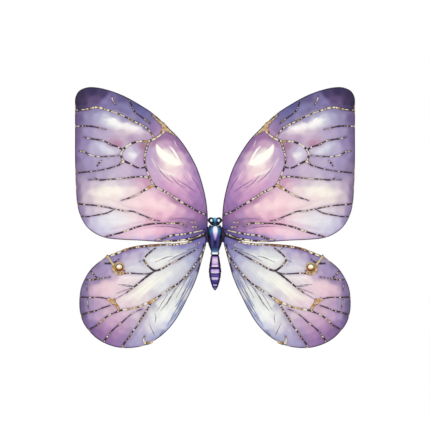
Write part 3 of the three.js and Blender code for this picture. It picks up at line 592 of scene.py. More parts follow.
# A stop is [out, up, colour] in millimetres. Glints and shades are brush strokes over the stops:
# [out, up, half width] rows, softness, strength and colour.
FOREWING_STOPS = [
    # tip and top band
    [336, 350, "#3c3152"], [330, 330, "#45375c"], [342, 326, "#372c4a"], [305, 358, "#3d3258"],
    [300, 335, "#5f4b78"], [280, 352, "#4a4069"], [275, 328, "#8578ab"], [262, 340, "#7e72a6"],
    [255, 322, "#7a6d9d"], [232, 322, "#6f6591"], [215, 312, "#766fa3"], [235, 338, "#625a88"],
    [196, 322, "#635f95"], [180, 308, "#6c68a0"], [190, 285, "#8079ab"], [165, 292, "#77709f"],
    [158, 268, "#9076a6"], [175, 272, "#8b80ad"], [310, 324, "#675581"],
    # cell under the top vein
    [340, 292, "#6c5c89"], [318, 296, "#958ab4"], [295, 300, "#aaa5c8"], [275, 292, "#c3c3da"],
    [258, 286, "#ecebf0"], [240, 276, "#e4e2ea"], [222, 272, "#ece2e8"], [205, 264, "#ead9e2"],
    [188, 262, "#dccbdc"], [170, 248, "#bfa5c4"], [345, 262, "#78668f"], [318, 262, "#a091bc"],
    [290, 258, "#b3a2c6"], [262, 252, "#bcaac8"], [232, 254, "#cdb9cf"], [210, 240, "#b79dbd"],
    [192, 242, "#c0a8c6"], [255, 300, "#b5b0cf"], [228, 288, "#a9a0c4"], [300, 310, "#9087b0"],
    # cells left of the small loop
    [344, 235, "#7b6994"], [325, 232, "#9282af"], [300, 226, "#b4abcb"], [278, 218, "#c8c5de"],
    [262, 208, "#d3cfe0"], [250, 212, "#c6bcd4"], [245, 228, "#b98fae"], [258, 232, "#bb9db9"],
    [330, 200, "#9385b0"], [300, 205, "#b5abca"], [270, 190, "#b7abc9"], [245, 188, "#b6a5c4"],
    [345, 190, "#7d6b97"], [315, 180, "#9e90bb"], [290, 175, "#ad9fc4"], [262, 180, "#baaaca"],
    [340, 165, "#8c7b9f"],
    # small loop
    [215, 212, "#cfc6dd"], [205, 200, "#dbd4e4"], [195, 215, "#b9a8cb"], [190, 190, "#b89dc2"],
    [182, 222, "#a9829e"], [178, 200, "#b394b6"],
    # band over the cream field
    [222, 166, "#c8b3cf"], [200, 156, "#b9a4c8"], [240, 156, "#c3b2cd"], [280, 150, "#b4a4c6"],
    [310, 148, "#a394ba"], [180, 158, "#b6a0c4"],
    # cream field
    [344, 120, "#8b7699"], [325, 118, "#b7a5c2"], [300, 128, "#cdbfd2"], [305, 105, "#e0d3d8"],
    [285, 105, "#eee2de"], [265, 108, "#f1e8e3"], [240, 112, "#f2eae6"], [262, 128, "#ddd2dc"],
    [232, 130, "#d3c3d4"], [205, 130, "#cdb6cd"], [185, 125, "#dab6cb"], [205, 110, "#ead6dc"],
    [175, 132, "#c79aba"], [344, 92, "#8d7a9c"], [320, 90, "#cdbacb"], [290, 84, "#e7d9da"],
    [255, 88, "#eddcdd"], [225, 80, "#f0dadf"], [200, 78, "#f2d6dd"],
    # pink field beside the main vein
    [175, 98, "#eccbd8"], [160, 82, "#f2d0da"], [140, 92, "#e0b6cc"], [130, 78, "#eecbd8"],
    [108, 72, "#efcbd9"], [100, 84, "#b98bab"], [85, 62, "#d7aac8"], [62, 52, "#b48abb"],
    [40, 45, "#9870a4"], [28, 40, "#82609a"], [160, 60, "#eec4d4"], [120, 52, "#eabfd2"],
    [90, 46, "#cf9dc0"],
    # lower band
    [335, 60, "#a08fb2"], [312, 62, "#cbbbd0"], [290, 60, "#d9ccdb"], [268, 60, "#e1d6de"],
    [325, 35, "#a99cc4"], [305, 36, "#ccc6e0"], [280, 38, "#dddceb"], [255, 40, "#e2dfea"],
    [230, 40, "#e6dde6"], [205, 44, "#ecd8e0"], [185, 38, "#ebcedb"], [165, 34, "#e4b4ca"],
    [140, 44, "#dfaac6"], [112, 38, "#c593b8"], [85, 36, "#a881aa"], [60, 30, "#8c6a98"],
    [310, 15, "#c0bad8"], [285, 8, "#cdc8e2"], [262, 12, "#d9d5e8"], [235, 20, "#e4dae6"],
    # strip under the lower vein
    [262, -6, "#c9b4d6"], [240, -5, "#d5bddb"], [215, 0, "#e3c6da"], [190, 6, "#eccbdc"],
    [165, 10, "#ecc4d8"], [140, 12, "#e6b4d0"], [115, 14, "#dba9ca"], [90, 14, "#c799c0"],
    [66, 14, "#9c7aac"], [45, 18, "#7a6098"], [200, -12, "#d9c4e4"], [160, -12, "#c8b0d8"],
    [125, -14, "#9a88ba"], [95, -10, "#8478b4"], [70, -6, "#7c70b0"], [50, 2, "#6e5f9c"],
    [30, 12, "#62529a"],
    # big oval cell beside the body
    [155, 228, "#b893b6"], [135, 245, "#b08ab4"], [115, 250, "#a880ae"], [95, 236, "#a079ac"],
    [78, 216, "#a07aae"], [60, 190, "#9f7cb0"], [45, 155, "#a17eb2"], [36, 125, "#a37eb4"],
    [28, 95, "#9c78b0"], [162, 205, "#bda6cd"], [160, 180, "#c0a6cd"], [150, 165, "#c8a8cc"],
    [145, 145, "#c7a4ca"], [128, 128, "#c59ac5"], [108, 112, "#c795bf"], [88, 98, "#b888ba"],
    [65, 84, "#a87cb2"], [48, 75, "#9670a8"], [140, 218, "#c9a9c4"], [122, 226, "#c39cc0"],
    [146, 198, "#cbb0cc"], [136, 178, "#d9bdd0"], [126, 205, "#eee2e0"], [110, 195, "#f2ece8"],
    [98, 215, "#bb93ba"], [88, 200, "#d0b0c8"], [98, 182, "#f0e0e0"], [115, 172, "#efdadd"],
    [84, 175, "#e4c8d6"], [72, 172, "#c5a0c6"], [102, 158, "#ecd2da"], [128, 158, "#e2c4d4"],
    [118, 142, "#e2bcd2"], [90, 150, "#e8c8d8"], [95, 132, "#dcb0cf"], [70, 145, "#d3a9cb"],
    [60, 128, "#bf92c2"], [75, 115, "#cc9fc4"], [52, 105, "#b083ba"], [55, 165, "#b38fbe"],
]
FOREWING_GLINTS = [
    ([[146, 226, 1], [141, 214, 6], [132, 202, 9], [118, 192, 10], [100, 182, 8], [88, 176, 2]],
     3, 0.95, "#fbfaf4"),
    ([[142, 206, 2], [132, 190, 3], [118, 178, 3], [100, 172, 1]], 10, 0.7, "#f6eeea"),
    ([[114, 222, 0.6], [106, 214, 2.2], [98, 202, 2.2], [88, 184, 1.6], [82, 176, 0.8]],
     2.5, 0.92, "#fdfcfa"),
    ([[102, 236, 0.6], [99, 229, 1.2], [96, 222, 0.5]], 2.5, 0.7, "#f2e8f0"),
    ([[158, 190, 0.6], [146, 172, 1.6], [130, 160, 2.6], [110, 152, 3.4], [98, 148, 1.2]],
     6, 0.75, "#f6e9ea"),
    ([[72, 162, 0.5], [62, 146, 1.4], [56, 134, 0.5]], 3, 0.5, "#ead2e6"),
    ([[276, 288, 1], [264, 286, 5], [252, 280, 6], [232, 274, 5], [205, 268, 6], [186, 268, 3]],
     9, 0.66, "#f4f2f6"),
    ([[258, 292, 0.6], [252, 290, 2], [246, 284, 1]], 3, 0.7, "#ffffff"),
    ([[296, 228, 3], [280, 220, 6], [262, 212, 5], [250, 206, 3]], 14, 0.45, "#dcdcee"),
    ([[214, 204, 3], [204, 198, 5], [198, 198, 2]], 9, 0.7, "#efeaf2"),
    ([[300, 103, 4], [270, 106, 8], [240, 112, 5], [222, 116, 2]], 16, 0.4, "#f5ede8"),
    ([[180, 82, 6], [150, 72, 7], [122, 66, 3]], 18, 0.35, "#f9dfe4"),
    ([[250, 30, 5], [225, 34, 6], [200, 36, 3]], 16, 0.45, "#f0eef6"),
    ([[180, 46, 2], [150, 48, 2.5], [118, 48, 1]], 8, 0.35, "#f3cfde"),
    ([[195, 264, 1], [180, 260, 1.6], [166, 252, 0.8]], 4, 0.4, "#f0e4ec"),
    ([[122, 132, 5], [92, 106, 7], [62, 84, 4]], 14, 0.45, "#dba8cb"),
    ([[190, 98, 6], [160, 84, 9], [128, 70, 5]], 20, 0.4, "#f6d3de"),
    ([[250, -2, 3], [200, 6, 6], [150, 14, 5]], 12, 0.4, "#f3d2e2"),
    ([[268, 318, 2], [240, 324, 7], [206, 310, 6], [180, 292, 3]], 11, 0.4, "#8f8cc0"),
]
FOREWING_SHADES = [
    ([[36, 62, 1], [30, 75, 1.5], [26, 88, 1]], 8, 0.5, "#6c4f8c"),
    ([[92, 128, 0.5], [70, 108, 1.2], [48, 92, 0.6]], 2.5, 0.5, "#8c5f93"),
    ([[84, 136, 0.4], [66, 122, 0.9], [48, 104, 0.4]], 2, 0.45, "#9a6fa6"),
    ([[140, 158, 0.6], [118, 140, 1.2], [92, 124, 0.6]], 3, 0.4, "#b283b4"),
    ([[78, 148, 0.4], [68, 136, 1], [62, 128, 0.4]], 2.5, 0.55, "#94689c"),
    ([[110, 40, 0.6], [85, 42, 2], [50, 36, 1]], 7, 0.55, "#835e92"),
    ([[120, 22, 0.8], [85, 20, 2.5], [50, 14, 1]], 6, 0.5, "#7b5a94"),
    ([[170, 52, 0.5], [140, 50, 1.5], [100, 48, 0.6]], 5, 0.3, "#c88bb2"),
    ([[230, 72, 0.5], [200, 66, 1.8], [160, 58, 0.8]], 8, 0.3, "#dfa8c4"),
    ([[262, 236, 1], [248, 230, 3], [238, 224, 1]], 8, 0.6, "#b4809f"),
    ([[188, 232, 1], [178, 224, 2.5], [176, 206, 1]], 6, 0.55, "#9c6c8c"),
    ([[200, 240, 1], [240, 246, 3], [280, 244, 1]], 10, 0.35, "#a88db8"),
    ([[150, 240, 2], [120, 244, 3], [90, 226, 3], [62, 182, 3], [40, 130, 3], [30, 92, 2]],
     9, 0.35, "#8a64a0"),
    ([[180, 46, 0.4], [150, 40, 1.5], [110, 28, 0.6]], 6, 0.35, "#c78cb4"),
    ([[345, 305, 2], [318, 308, 3], [295, 312, 3], [262, 303, 3], [232, 292, 3], [205, 278, 3],
      [176, 262, 1]], 7, 0.42, "#8d83b2"),
    ([[345, 320, 1], [318, 322, 3], [292, 327, 3], [262, 319, 3], [232, 307, 3], [205, 293, 2]],
     8, 0.4, "#5f5488"),
    ([[142, 106, 1], [118, 95, 3], [90, 78, 4], [60, 60, 4], [34, 46, 3]], 10, 0.5, "#a06c9c"),
    ([[158, 132, 1], [172, 134, 4], [192, 136, 3], [210, 138, 1]], 9, 0.5, "#cb94b6"),
    ([[345, 170, 4], [346, 140, 6], [344, 110, 6], [338, 70, 5], [324, 36, 4]], 14, 0.4, "#7d6694"),
    ([[346, 300, 4], [346, 262, 6], [346, 220, 6], [346, 180, 5]], 12, 0.45, "#6a5688"),
    ([[280, 96, 1], [250, 84, 3], [225, 74, 3], [200, 66, 1]], 9, 0.3, "#cdb4cc"),
    ([[330, 78, 2], [300, 76, 3], [262, 70, 2]], 8, 0.35, "#b7a3c2"),
    ([[262, 14, 2], [230, 22, 3], [200, 30, 2], [160, 38, 1]], 8, 0.35, "#c8a6c6"),
    ([[250, -6, 1], [210, 4, 2], [170, 18, 2], [130, 22, 1]], 7, 0.4, "#c489b2"),
    ([[156, 224, 3], [142, 240, 6], [118, 248, 8], [94, 232, 7], [76, 206, 3]], 14, 0.62, "#8f6596"),
    ([[148, 214, 1], [150, 196, 3], [140, 180, 2]], 7, 0.4, "#a685b4"),
    ([[160, 222, 2], [164, 196, 2], [158, 168, 1]], 7, 0.4, "#a68cc4"),
]
HINDWING_STOPS = [
    # top margin, from the body outward
    [36, -18, "#7d78bc"], [48, -14, "#7b76be"], [62, -20, "#9590c6"], [80, -26, "#8f8ac2"],
    [100, -30, "#a9a6cc"], [125, -30, "#c4c3d6"], [150, -30, "#c6c3d6"], [172, -32, "#b0a6cb"],
    [195, -34, "#a697c2"], [218, -40, "#9a89b6"], [240, -48, "#9180b2"], [258, -58, "#9486b8"],
    [275, -66, "#a295b8"], [296, -78, "#8f7eaa"],
    # cell with the bead
    [185, -45, "#b5a9cd"], [200, -52, "#c4b9d2"], [222, -56, "#b8aacb"], [195, -70, "#cdc8da"],
    [178, -78, "#d2cedd"], [215, -72, "#c9c0d6"], [212, -86, "#d5d2de"], [190, -88, "#d6d5e0"],
    [245, -66, "#a897c0"], [262, -78, "#ab9bc2"],
    # left margin
    [312, -98, "#9080a8"], [295, -95, "#a28fb9"], [278, -92, "#a894bf"], [300, -115, "#9e8ab0"],
    [328, -120, "#8472a0"], [328, -150, "#86769f"], [332, -175, "#76678f"], [330, -200, "#6e5f88"],
    [322, -222, "#7b6699"], [306, -240, "#7f6398"], [312, -170, "#a494bb"],
    # pink field
    [262, -100, "#b9a4c6"], [250, -108, "#ccb2cc"], [275, -122, "#dfc0d0"], [292, -135, "#dcbace"],
    [255, -130, "#e4c6d4"], [235, -115, "#e6d3dd"], [215, -108, "#ebdfe5"], [200, -112, "#e6dae2"],
    [230, -138, "#e2c8d6"], [210, -122, "#e0d2dc"], [275, -145, "#e2c2d3"], [250, -150, "#e4ccd8"],
    [300, -150, "#d6b5cd"], [225, -100, "#e9dbe2"],
    # cells under the arrowhead
    [300, -172, "#b89cc0"], [275, -172, "#cbb0c6"], [258, -182, "#c9a9bd"], [290, -180, "#c0a4c6"],
    [310, -200, "#a58db8"], [290, -205, "#b99fc2"], [270, -195, "#d2b4c8"], [305, -222, "#9079a8"],
    [285, -225, "#9d7ca4"], [265, -212, "#c4a0c0"], [255, -202, "#cfaecb"], [290, -245, "#8a6a9c"],
    [270, -236, "#a681b0"], [252, -222, "#c5a2c6"], [240, -205, "#d6b6d0"],
    [262, -262, "#8e6da2"], [245, -252, "#a581b0"], [232, -236, "#b895bd"], [222, -220, "#c3a6c6"],
    [242, -274, "#9a7cae"], [225, -258, "#9c82b0"], [215, -240, "#a993b8"], [205, -222, "#bfa9c8"],
    [225, -195, "#dcc0d4"], [200, -198, "#d8c5d8"], [185, -190, "#c4b0c8"],
    # cream field
    [238, -168, "#e6d2dc"], [215, -158, "#e8dade"], [195, -152, "#ece2e1"], [180, -138, "#eeeae4"],
    [195, -170, "#e4d6dc"], [215, -172, "#e2ccd8"], [165, -122, "#edebe6"], [150, -112, "#ebeae7"],
    [172, -160, "#ddd3dc"], [158, -150, "#cfc8d6"], [135, -108, "#e8e9e8"], [135, -125, "#dcdce4"],
    [118, -98, "#dfe0e4"], [110, -118, "#d0d0de"], [98, -86, "#d5d5de"], [92, -100, "#cfcede"],
    [76, -76, "#cfcfe0"], [62, -62, "#b8b8d6"], [48, -48, "#9c9cc8"],
    # long loop
    [165, -55, "#dadae2"], [158, -68, "#e4e3e8"], [145, -52, "#d8d9e0"], [140, -66, "#ededec"],
    [120, -50, "#dcdde2"], [118, -60, "#e6e6e8"], [100, -48, "#cfd0da"], [82, -42, "#bdbdd0"],
    [62, -36, "#9c9bc0"], [168, -42, "#c9c4d8"],
    # blue-grey fan under the main vein
    [36, -52, "#807cac"], [45, -80, "#8c8ab6"], [54, -98, "#b6b8d4"], [60, -120, "#a7aacc"],
    [72, -112, "#d8d9e2"], [90, -138, "#e2e3e4"], [78, -150, "#d2d4e0"], [85, -175, "#a9b0d4"],
    [105, -150, "#dcdddf"], [120, -160, "#e2e2e2"], [105, -180, "#e2e3e6"], [98, -206, "#b6bee2"],
    [140, -172, "#e0dfe2"], [150, -178, "#b9b6c8"], [130, -195, "#e8e9e8"], [118, -205, "#e3e4e9"],
    [112, -226, "#bcc3e6"], [155, -200, "#dcdce2"], [145, -215, "#e2e0e8"], [132, -228, "#d4d4e4"],
    [128, -246, "#a2a8d2"], [168, -215, "#cfcad8"], [160, -232, "#d8d3e0"], [148, -246, "#b9b9d2"],
    [152, -262, "#a8abd0"], [178, -208, "#c2b7cc"], [188, -232, "#bfb6d2"], [180, -250, "#b9b2d0"],
    [200, -250, "#aea3c6"], [205, -272, "#a69ec6"], [182, -270, "#aaa6ce"], [225, -276, "#9c8bba"],
]
HINDWING_GLINTS = [
    ([[296, -208, 7], [262, -224, 9], [228, -214, 8]], 20, 0.36, "#cda6cd"),
    ([[148, -214, 4], [128, -206, 8], [96, -168, 6], [74, -136, 2]], 14, 0.5, "#ecedf2"),
    ([[290, -126, 4], [270, -128, 9], [248, -122, 8], [225, -112, 4]], 18, 0.35, "#f0d9e2"),
    ([[240, -104, 1], [218, -106, 3], [196, -106, 2], [176, -104, 1]], 8, 0.55, "#f4ecf0"),
    ([[232, -160, 3], [205, -150, 6], [172, -132, 7], [140, -112, 5], [110, -94, 2]],
     14, 0.4, "#f7f4ee"),
    ([[160, -62, 3], [140, -62, 4.5], [112, -54, 3], [86, -46, 1.5]], 9, 0.5, "#f6f6f6"),
    ([[212, -84, 2], [195, -80, 4], [182, -82, 2]], 12, 0.4, "#e4e2ec"),
    ([[150, -185, 2], [130, -172, 4], [112, -150, 3], [92, -128, 1.5]], 12, 0.4, "#f0f0ee"),
    ([[160, -212, 2], [148, -200, 3], [128, -188, 3]], 10, 0.35, "#ecedf0"),
    ([[120, -222, 0.8], [104, -196, 1.4], [92, -176, 0.8]], 4, 0.4, "#c8d2f2"),
]
HINDWING_SHADES = [
    ([[312, -118, 1], [306, -150, 1.6], [306, -185, 1]], 7, 0.35, "#8c7aa8"),
    ([[268, -88, 1], [275, -98, 2], [262, -104, 1]], 8, 0.5, "#9a88b8"),
    ([[258, -84, 1], [256, -92, 2], [246, -98, 1]], 5, 0.5, "#6f5f8c"),
    ([[212, -260, 1], [222, -240, 2], [212, -214, 1]], 10, 0.3, "#a284b4"),
    ([[160, -178, 1], [150, -168, 2], [138, -158, 1]], 6, 0.5, "#9a94b4"),
    ([[190, -32, 2], [230, -42, 3], [262, -56, 2]], 8, 0.4, "#7a6aa8"),
    ([[32, -40, 2], [50, -84, 2], [76, -134, 1]], 6, 0.45, "#7470a8"),
    ([[60, -152, 1], [80, -190, 3], [102, -226, 4], [128, -252, 4], [150, -268, 2]],
     7, 0.45, "#9aa0d8"),
    ([[160, -176, 1], [172, -200, 3], [190, -232, 3], [212, -268, 2]], 7, 0.22, "#8f7aae"),
    ([[150, -166, 1], [120, -148, 3], [90, -126, 3], [62, -96, 3], [40, -66, 2]], 6, 0.45, "#9d98c4"),
    ([[164, -160, 1], [128, -140, 2], [96, -116, 2], [64, -84, 2]], 6, 0.3, "#a8a4c8"),
    ([[182, -48, 1], [188, -60, 3], [180, -76, 2]], 7, 0.45, "#958bbc"),
    ([[150, -92, 1], [118, -78, 2], [84, -62, 2], [54, -44, 1]], 5, 0.35, "#a9a6c6"),
    ([[312, -112, 2], [290, -114, 3], [262, -108, 2]], 7, 0.4, "#a08ab4"),
    ([[262, -108, 1], [235, -102, 3], [205, -100, 2]], 7, 0.35, "#cdb6d2"),
    ([[300, -236, 3], [262, -258, 5], [230, -268, 4]], 16, 0.4, "#87609a"),
    ([[330, -150, 3], [332, -180, 4], [322, -215, 3]], 8, 0.4, "#66547f"),
]
WING_PAINT = {
    "forewing": (FOREWING_EDGE, FOREWING_LINES, FOREWING_INK, FOREWING_STOPS, FOREWING_GLINTS,
                 FOREWING_SHADES, FOREWING_SATIN),
    "hindwing": (HINDWING_EDGE, HINDWING_LINES, HINDWING_INK, HINDWING_STOPS, HINDWING_GLINTS,
                 HINDWING_SHADES, HINDWING_SATIN),
}
SHEEN_LIFT = 0.014          # taken off the dyes because the satin's sheen adds about as much back
DYE_TONE = [1.03, 1.035, 0.975]     # the dyes run a little warmer than their written colours
BRUSH_ROOT = {"forewing": [10, 20], "hindwing": [10, 5]}    # where the brush streaks fan out from
BRUSH_DEPTH = {"forewing": 0.08, "hindwing": 0.14}
WASH_SEED = {"forewing": 11, "hindwing": 21}
STREAK_SEED, BLOOM_SEED, RIPPLE_SEED = 31, 33, 5


# ---------------------------------------------------------------- wing geometry

def edge_loop(edge, depth, step=1.0):
    """The wing's closed outline moved inward by a depth; it runs clockwise seen from the front."""
    points = np.vstack([side[:-1] for side in edge.values()]).astype(float)
    loop = smooth_line(points, step, closed=True)[:-1]
    return loop + depth * inward_of(loop)


def cloth_grid(edge, rows, cols):
    """Coons patch over the outline: the four sides blended linearly, less the four corners."""
    loop = edge_loop(edge, RIM_INSET)
    starts = [int(((loop - np.array(side[0])) ** 2).sum(1).argmin()) for side in edge.values()]
    loop = np.roll(loop, -starts[0], axis=0)
    starts = [(start - starts[0]) % len(loop) for start in starts] + [len(loop)]
    loop = np.vstack([loop, loop[:1]])
    root, top, outer, bottom = (loop[a:b + 1] for a, b in zip(starts, starts[1:]))
    root, outer = resampled(root, rows), resampled(outer[::-1], rows)
    top, bottom = resampled(top, cols), resampled(bottom[::-1], cols)
    u, v = np.linspace(0, 1, cols)[None, :, None], np.linspace(0, 1, rows)[:, None, None]
    ruled = (1 - v) * bottom[None] + v * top[None] + (1 - u) * root[:, None] + u * outer[:, None]
    corners = ((1 - u) * (1 - v) * bottom[0] + u * (1 - v) * bottom[-1]
               + (1 - u) * v * top[0] + u * v * top[-1])
    return (ruled - corners).reshape(-1, 2)


class Wing:
    """One wing's drawn lines, with its cloth's height and colour at any [out, up] place."""

    def __init__(self, kind):
        self.kind = kind
        (self.edge, self.lines, self.ink, self.stops, self.glints, self.shades,
         self.cloth) = WING_PAINT[kind]
        rim = edge_loop(self.edge, RIM_INSET, 3.0)
        self.outline = np.vstack([rim, rim[:1]])
        self.veins = [smooth_line(line[0], 3.0) for line in self.lines]

    def vein_distance(self, points):
        """Millimetres from each point to the nearest drawn line."""
        return np.min([line_distance(points, line) for line in self.veins], axis=0)

    def front(self, points):
        """Y of the cloth's face: it swells forward between the veins and the edge wire."""
        gap = np.minimum(self.vein_distance(points), line_distance(points, self.outline))
        swell = 1 - np.exp(-(gap * MM / PILLOW_REACH) ** 1.5)
        ripple = cloud(points[:, 0] / 38, points[:, 1] / 38, RIPPLE_SEED) - 0.5
        return PANEL_FRONT - swell * (PILLOW + ripple * 0.8 * MM)

    def colour(self, points):
        """Washes, then shades and glints, then pooled colour beside the veins and the edge."""
        wash = washes(points, self.stops, WASH_SEED[self.kind])
        wash = np.maximum(wash - SHEEN_LIFT, 0.01)
        for path, soft, strength, colour in self.shades + self.glints:
            wash = layered(wash, stroke(points, path, soft) * strength, colour)
        away = points - np.array(BRUSH_ROOT[self.kind])
        angle, reach = np.arctan2(away[:, 1], away[:, 0]), np.linalg.norm(away, axis=1)
        streak = (cloud(angle * 55, reach / 60, STREAK_SEED) * 0.6
                  + cloud(angle * 130, reach / 35, STREAK_SEED + 1) * 0.4)
        wash = wash * (1 - BRUSH_DEPTH[self.kind] * (streak - 0.45))[:, None]
        bloom = cloud(points[:, 0] / 24, points[:, 1] / 24, BLOOM_SEED) - 0.5
        wash = wash * (1 + 0.05 * bloom)[:, None] * DYE_TONE
        gap = self.vein_distance(points)
        near_vein = np.exp(-(gap / 3.4) ** 2) * 0.4 + np.exp(-gap / 9) * 0.16
        near_edge = np.exp(-line_distance(points, self.outline) / 3.4) * 0.5
        pooled = 1 - (1 - near_vein) * (1 - near_edge)
        return layered(wash, pooled, wash * linear(["#8f74a6"])[0] * 1.35)


def on_side(points, side):
    """[x, y, z] points of a right wing, mirrored for the left, where side is -1."""
    return points * np.array([side, 1, 1])


def standing(points, y):
    """[out, up] points in millimetres as [x, y, z] in metres, y being given."""
    return np.stack([points[:, 0] * MM, y, points[:, 1] * MM], axis=1)


def tubes(rings):
    """Closed tubes: each line's rings joined by quads, with its two ends capped."""
    points, quads, caps, start = [], [], [], 0
    for ring in rings:
        count, around = ring.shape[:2]
        points.append(ring.reshape(-1, 3))
        quads.append(grid_faces(count, around, wrap=True) + start)
        caps += [cap + start for cap in end_caps(count, around)]
        start += count * around
    return np.vstack(points), np.vstack(quads), caps


RIDGE_POINTS = 9        # round a ridge: two at its flat base and the rest over its arch
ARCH = np.linspace(0, np.pi, RIDGE_POINTS - 2)


def ridge(wing, line, half, height):
    """Rings of a low ridge: a half ellipse square to the line, on the cloth, with a flat base."""
    along = directions(line)
    across = np.stack([-along[:, 1], along[:, 0]], axis=1)
    spread = np.concatenate([[1], np.cos(ARCH), [-1]])
    rise = np.concatenate([[0], np.sin(ARCH), [0]])
    base = wing.front(line)
    flat = line[:, None, :] + across[:, None, :] * (half[:, None] * spread)[..., None]
    y = base[:, None] - rise * height[:, None]
    y[:, [0, -1]] = (base + LINE_SINK)[:, None]
    return np.stack([flat[..., 0] * MM, y, flat[..., 1] * MM], axis=2)


GOLD, CREAM, BROWN, AMBER, RUSSET = linear(["#c9a362", "#f3ead2", "#271a24", "#d08c30", "#8c4a2c"])
LEAF_TONES = {"gold": GOLD, "pale": CREAM, "amber": AMBER, "russet": RUSSET}
LEAF_SEED = {"forewing": 100, "hindwing": 150}     # the first line's; each next line adds 1
INK_SEED, INK_TONE_SEED, STROKE_SEED, STROKE_TONE_SEED = 700, 800, 900, 950
LINE_SPREAD = 1.42      # leaf is laid this much wider than a line's written width
FULL_GILDING = 0.9      # a line gilded more than this is a solid spot, with more ink round it


def gilding_of(wing):
    """The gilt lines of a wing: ridges whose tint wanders from gold to cream and bare brown, with
    painted shade on their flanks.
    """
    rings, tints, metals = [], [], []
    for index, (points, widths, gilding, *leaf) in enumerate(wing.lines):
        line = smooth_line(np.column_stack([points, widths]), 1.3)
        count = len(line)
        seed = LEAF_SEED[wing.kind] + index
        gold = wavy(count, 2.6, seed) * 0.75 + wavy(count, 7, seed + 400) * 0.25
        leafed_here = soft_step(gold, 0.85 - gilding * 0.75, 1.04 - gilding * 0.75)
        swell = 0.7 + 0.55 * wavy(count, 2.0, seed + 200)
        half = line[:, 2] / 2 * LINE_SPREAD * swell * (0.4 + 0.55 * leafed_here)
        taper = np.clip(np.minimum(np.arange(count), np.arange(count)[::-1]) / 3, 0.25, 1)
        height = VEIN_HEIGHT * taper * (0.35 + 0.65 * leafed_here)
        rings.append(ridge(wing, line[:, :2], half * taper, height))
        tone = LEAF_TONES[leaf[0] if leaf else "gold"] * 0.7 + GOLD * 0.3
        cream = soft_step(wavy(count, 3.2, seed + 300), 0.15, 0.5) * (1 - 0.6 * (gilding > FULL_GILDING))
        tint = layered(BROWN, leafed_here, layered(tone, cream, CREAM))
        # Painted shade: each ridge's flanks are darkened and its crest left lightest, as light falls
        # over the arch.
        crest_painted_shade = np.concatenate([[0.75], 0.78 + 0.22 * np.sin(ARCH), [0.75]])
        tints.append((tint[:, None, :] * crest_painted_shade[None, :, None]).reshape(-1, 3))
        metals.append(np.repeat(leafed_here * (0.45 - 0.4 * cream), RIDGE_POINTS))
    return *tubes(rings), {"tint": np.vstack(tints), "metal": np.concatenate(metals)}


STROKE_INK = {"forewing": "#705a86", "hindwing": "#5c5b7a"}


def inked_of(wing):
    """Brown ink under and beside the gilding, and the fine brushed strokes of the cells."""
    rings, tints = [], []
    for index, (points, widths, gilding, *_) in enumerate(wing.lines):
        line = smooth_line(np.column_stack([points, widths]), 1.6)
        count = len(line)
        wander = 0.75 + 0.5 * wavy(count, 4, INK_SEED + index)
        margin = 1.3 if gilding > FULL_GILDING else 0.7
        half = (line[:, 2] / 2 * 1.3 + margin) * wander
        rings.append(ridge(wing, line[:, :2], half, np.full(count, INK_HEIGHT)))
        ink = linear(["#3c2734"])[0] * (0.55 + 0.9 * wavy(count, 5, INK_TONE_SEED + index))[:, None]
        tints.append(np.repeat(ink, RIDGE_POINTS, axis=0))
    for index, points in enumerate(wing.ink):
        line = smooth_line(points, 1.6)
        count = len(line)
        swell = np.sin(np.linspace(0.15, np.pi - 0.15, count))
        half = (0.4 + 0.75 * swell) * (0.7 + 0.6 * wavy(count, 4, STROKE_SEED + index))
        rings.append(ridge(wing, line, half, np.full(count, INK_HEIGHT * 0.7)))
        ink = wing.colour(line) * 0.25 + linear([STROKE_INK[wing.kind]])[0] * 0.75
        ink = ink * (0.8 + 0.4 * wavy(count, 6, STROKE_TONE_SEED + index))[:, None]
        tints.append(np.repeat(ink, RIDGE_POINTS, axis=0))
    tint = np.vstack(tints)
    return *tubes(rings), {"tint": tint, "metal": np.zeros(len(tint))}


EDGE_RUBS = {
    # places [out, up, reach] where the edge wire is gilt
    "forewing": [[350, 312, 9], [350, 326, 5], [349, 272, 5], [350, 155, 12], [348, 122, 8],
                 [344, 78, 5], [336, 46, 4], [275, -8, 6], [150, 300, 9], [130, 283, 8],
                 [60, -11, 8], [85, -15, 9], [108, -17, 7], [42, -5, 6], [132, -18, 6]],
    "hindwing": [[60, -14, 7], [80, -18, 8], [105, -21, 9], [218, -32, 4], [238, -40, 9],
                 [252, -46, 6], [272, -54, 10], [284, -63, 5], [230, -282, 5], [158, -268, 10],
                 [182, -279, 6], [312, -238, 4], [338, -156, 4], [335, -202, 4], [60, -140, 3]],
}


def round_cord(loop, radius, middle):
    """A round tube along a closed loop in the wings' plane, its own middle at the given Y."""
    turn = turned(CORD_SIDES)
    flat = (loop[:, None, :] * MM
            + inward_of(loop)[:, None, :] * (radius * np.cos(turn))[None, :, None])
    y = np.broadcast_to(middle + radius * np.sin(turn), flat.shape[:2])
    points = np.stack([flat[..., 0], y, flat[..., 1]], axis=2).reshape(-1, 3)
    return points, ring_faces(len(loop), CORD_SIDES)


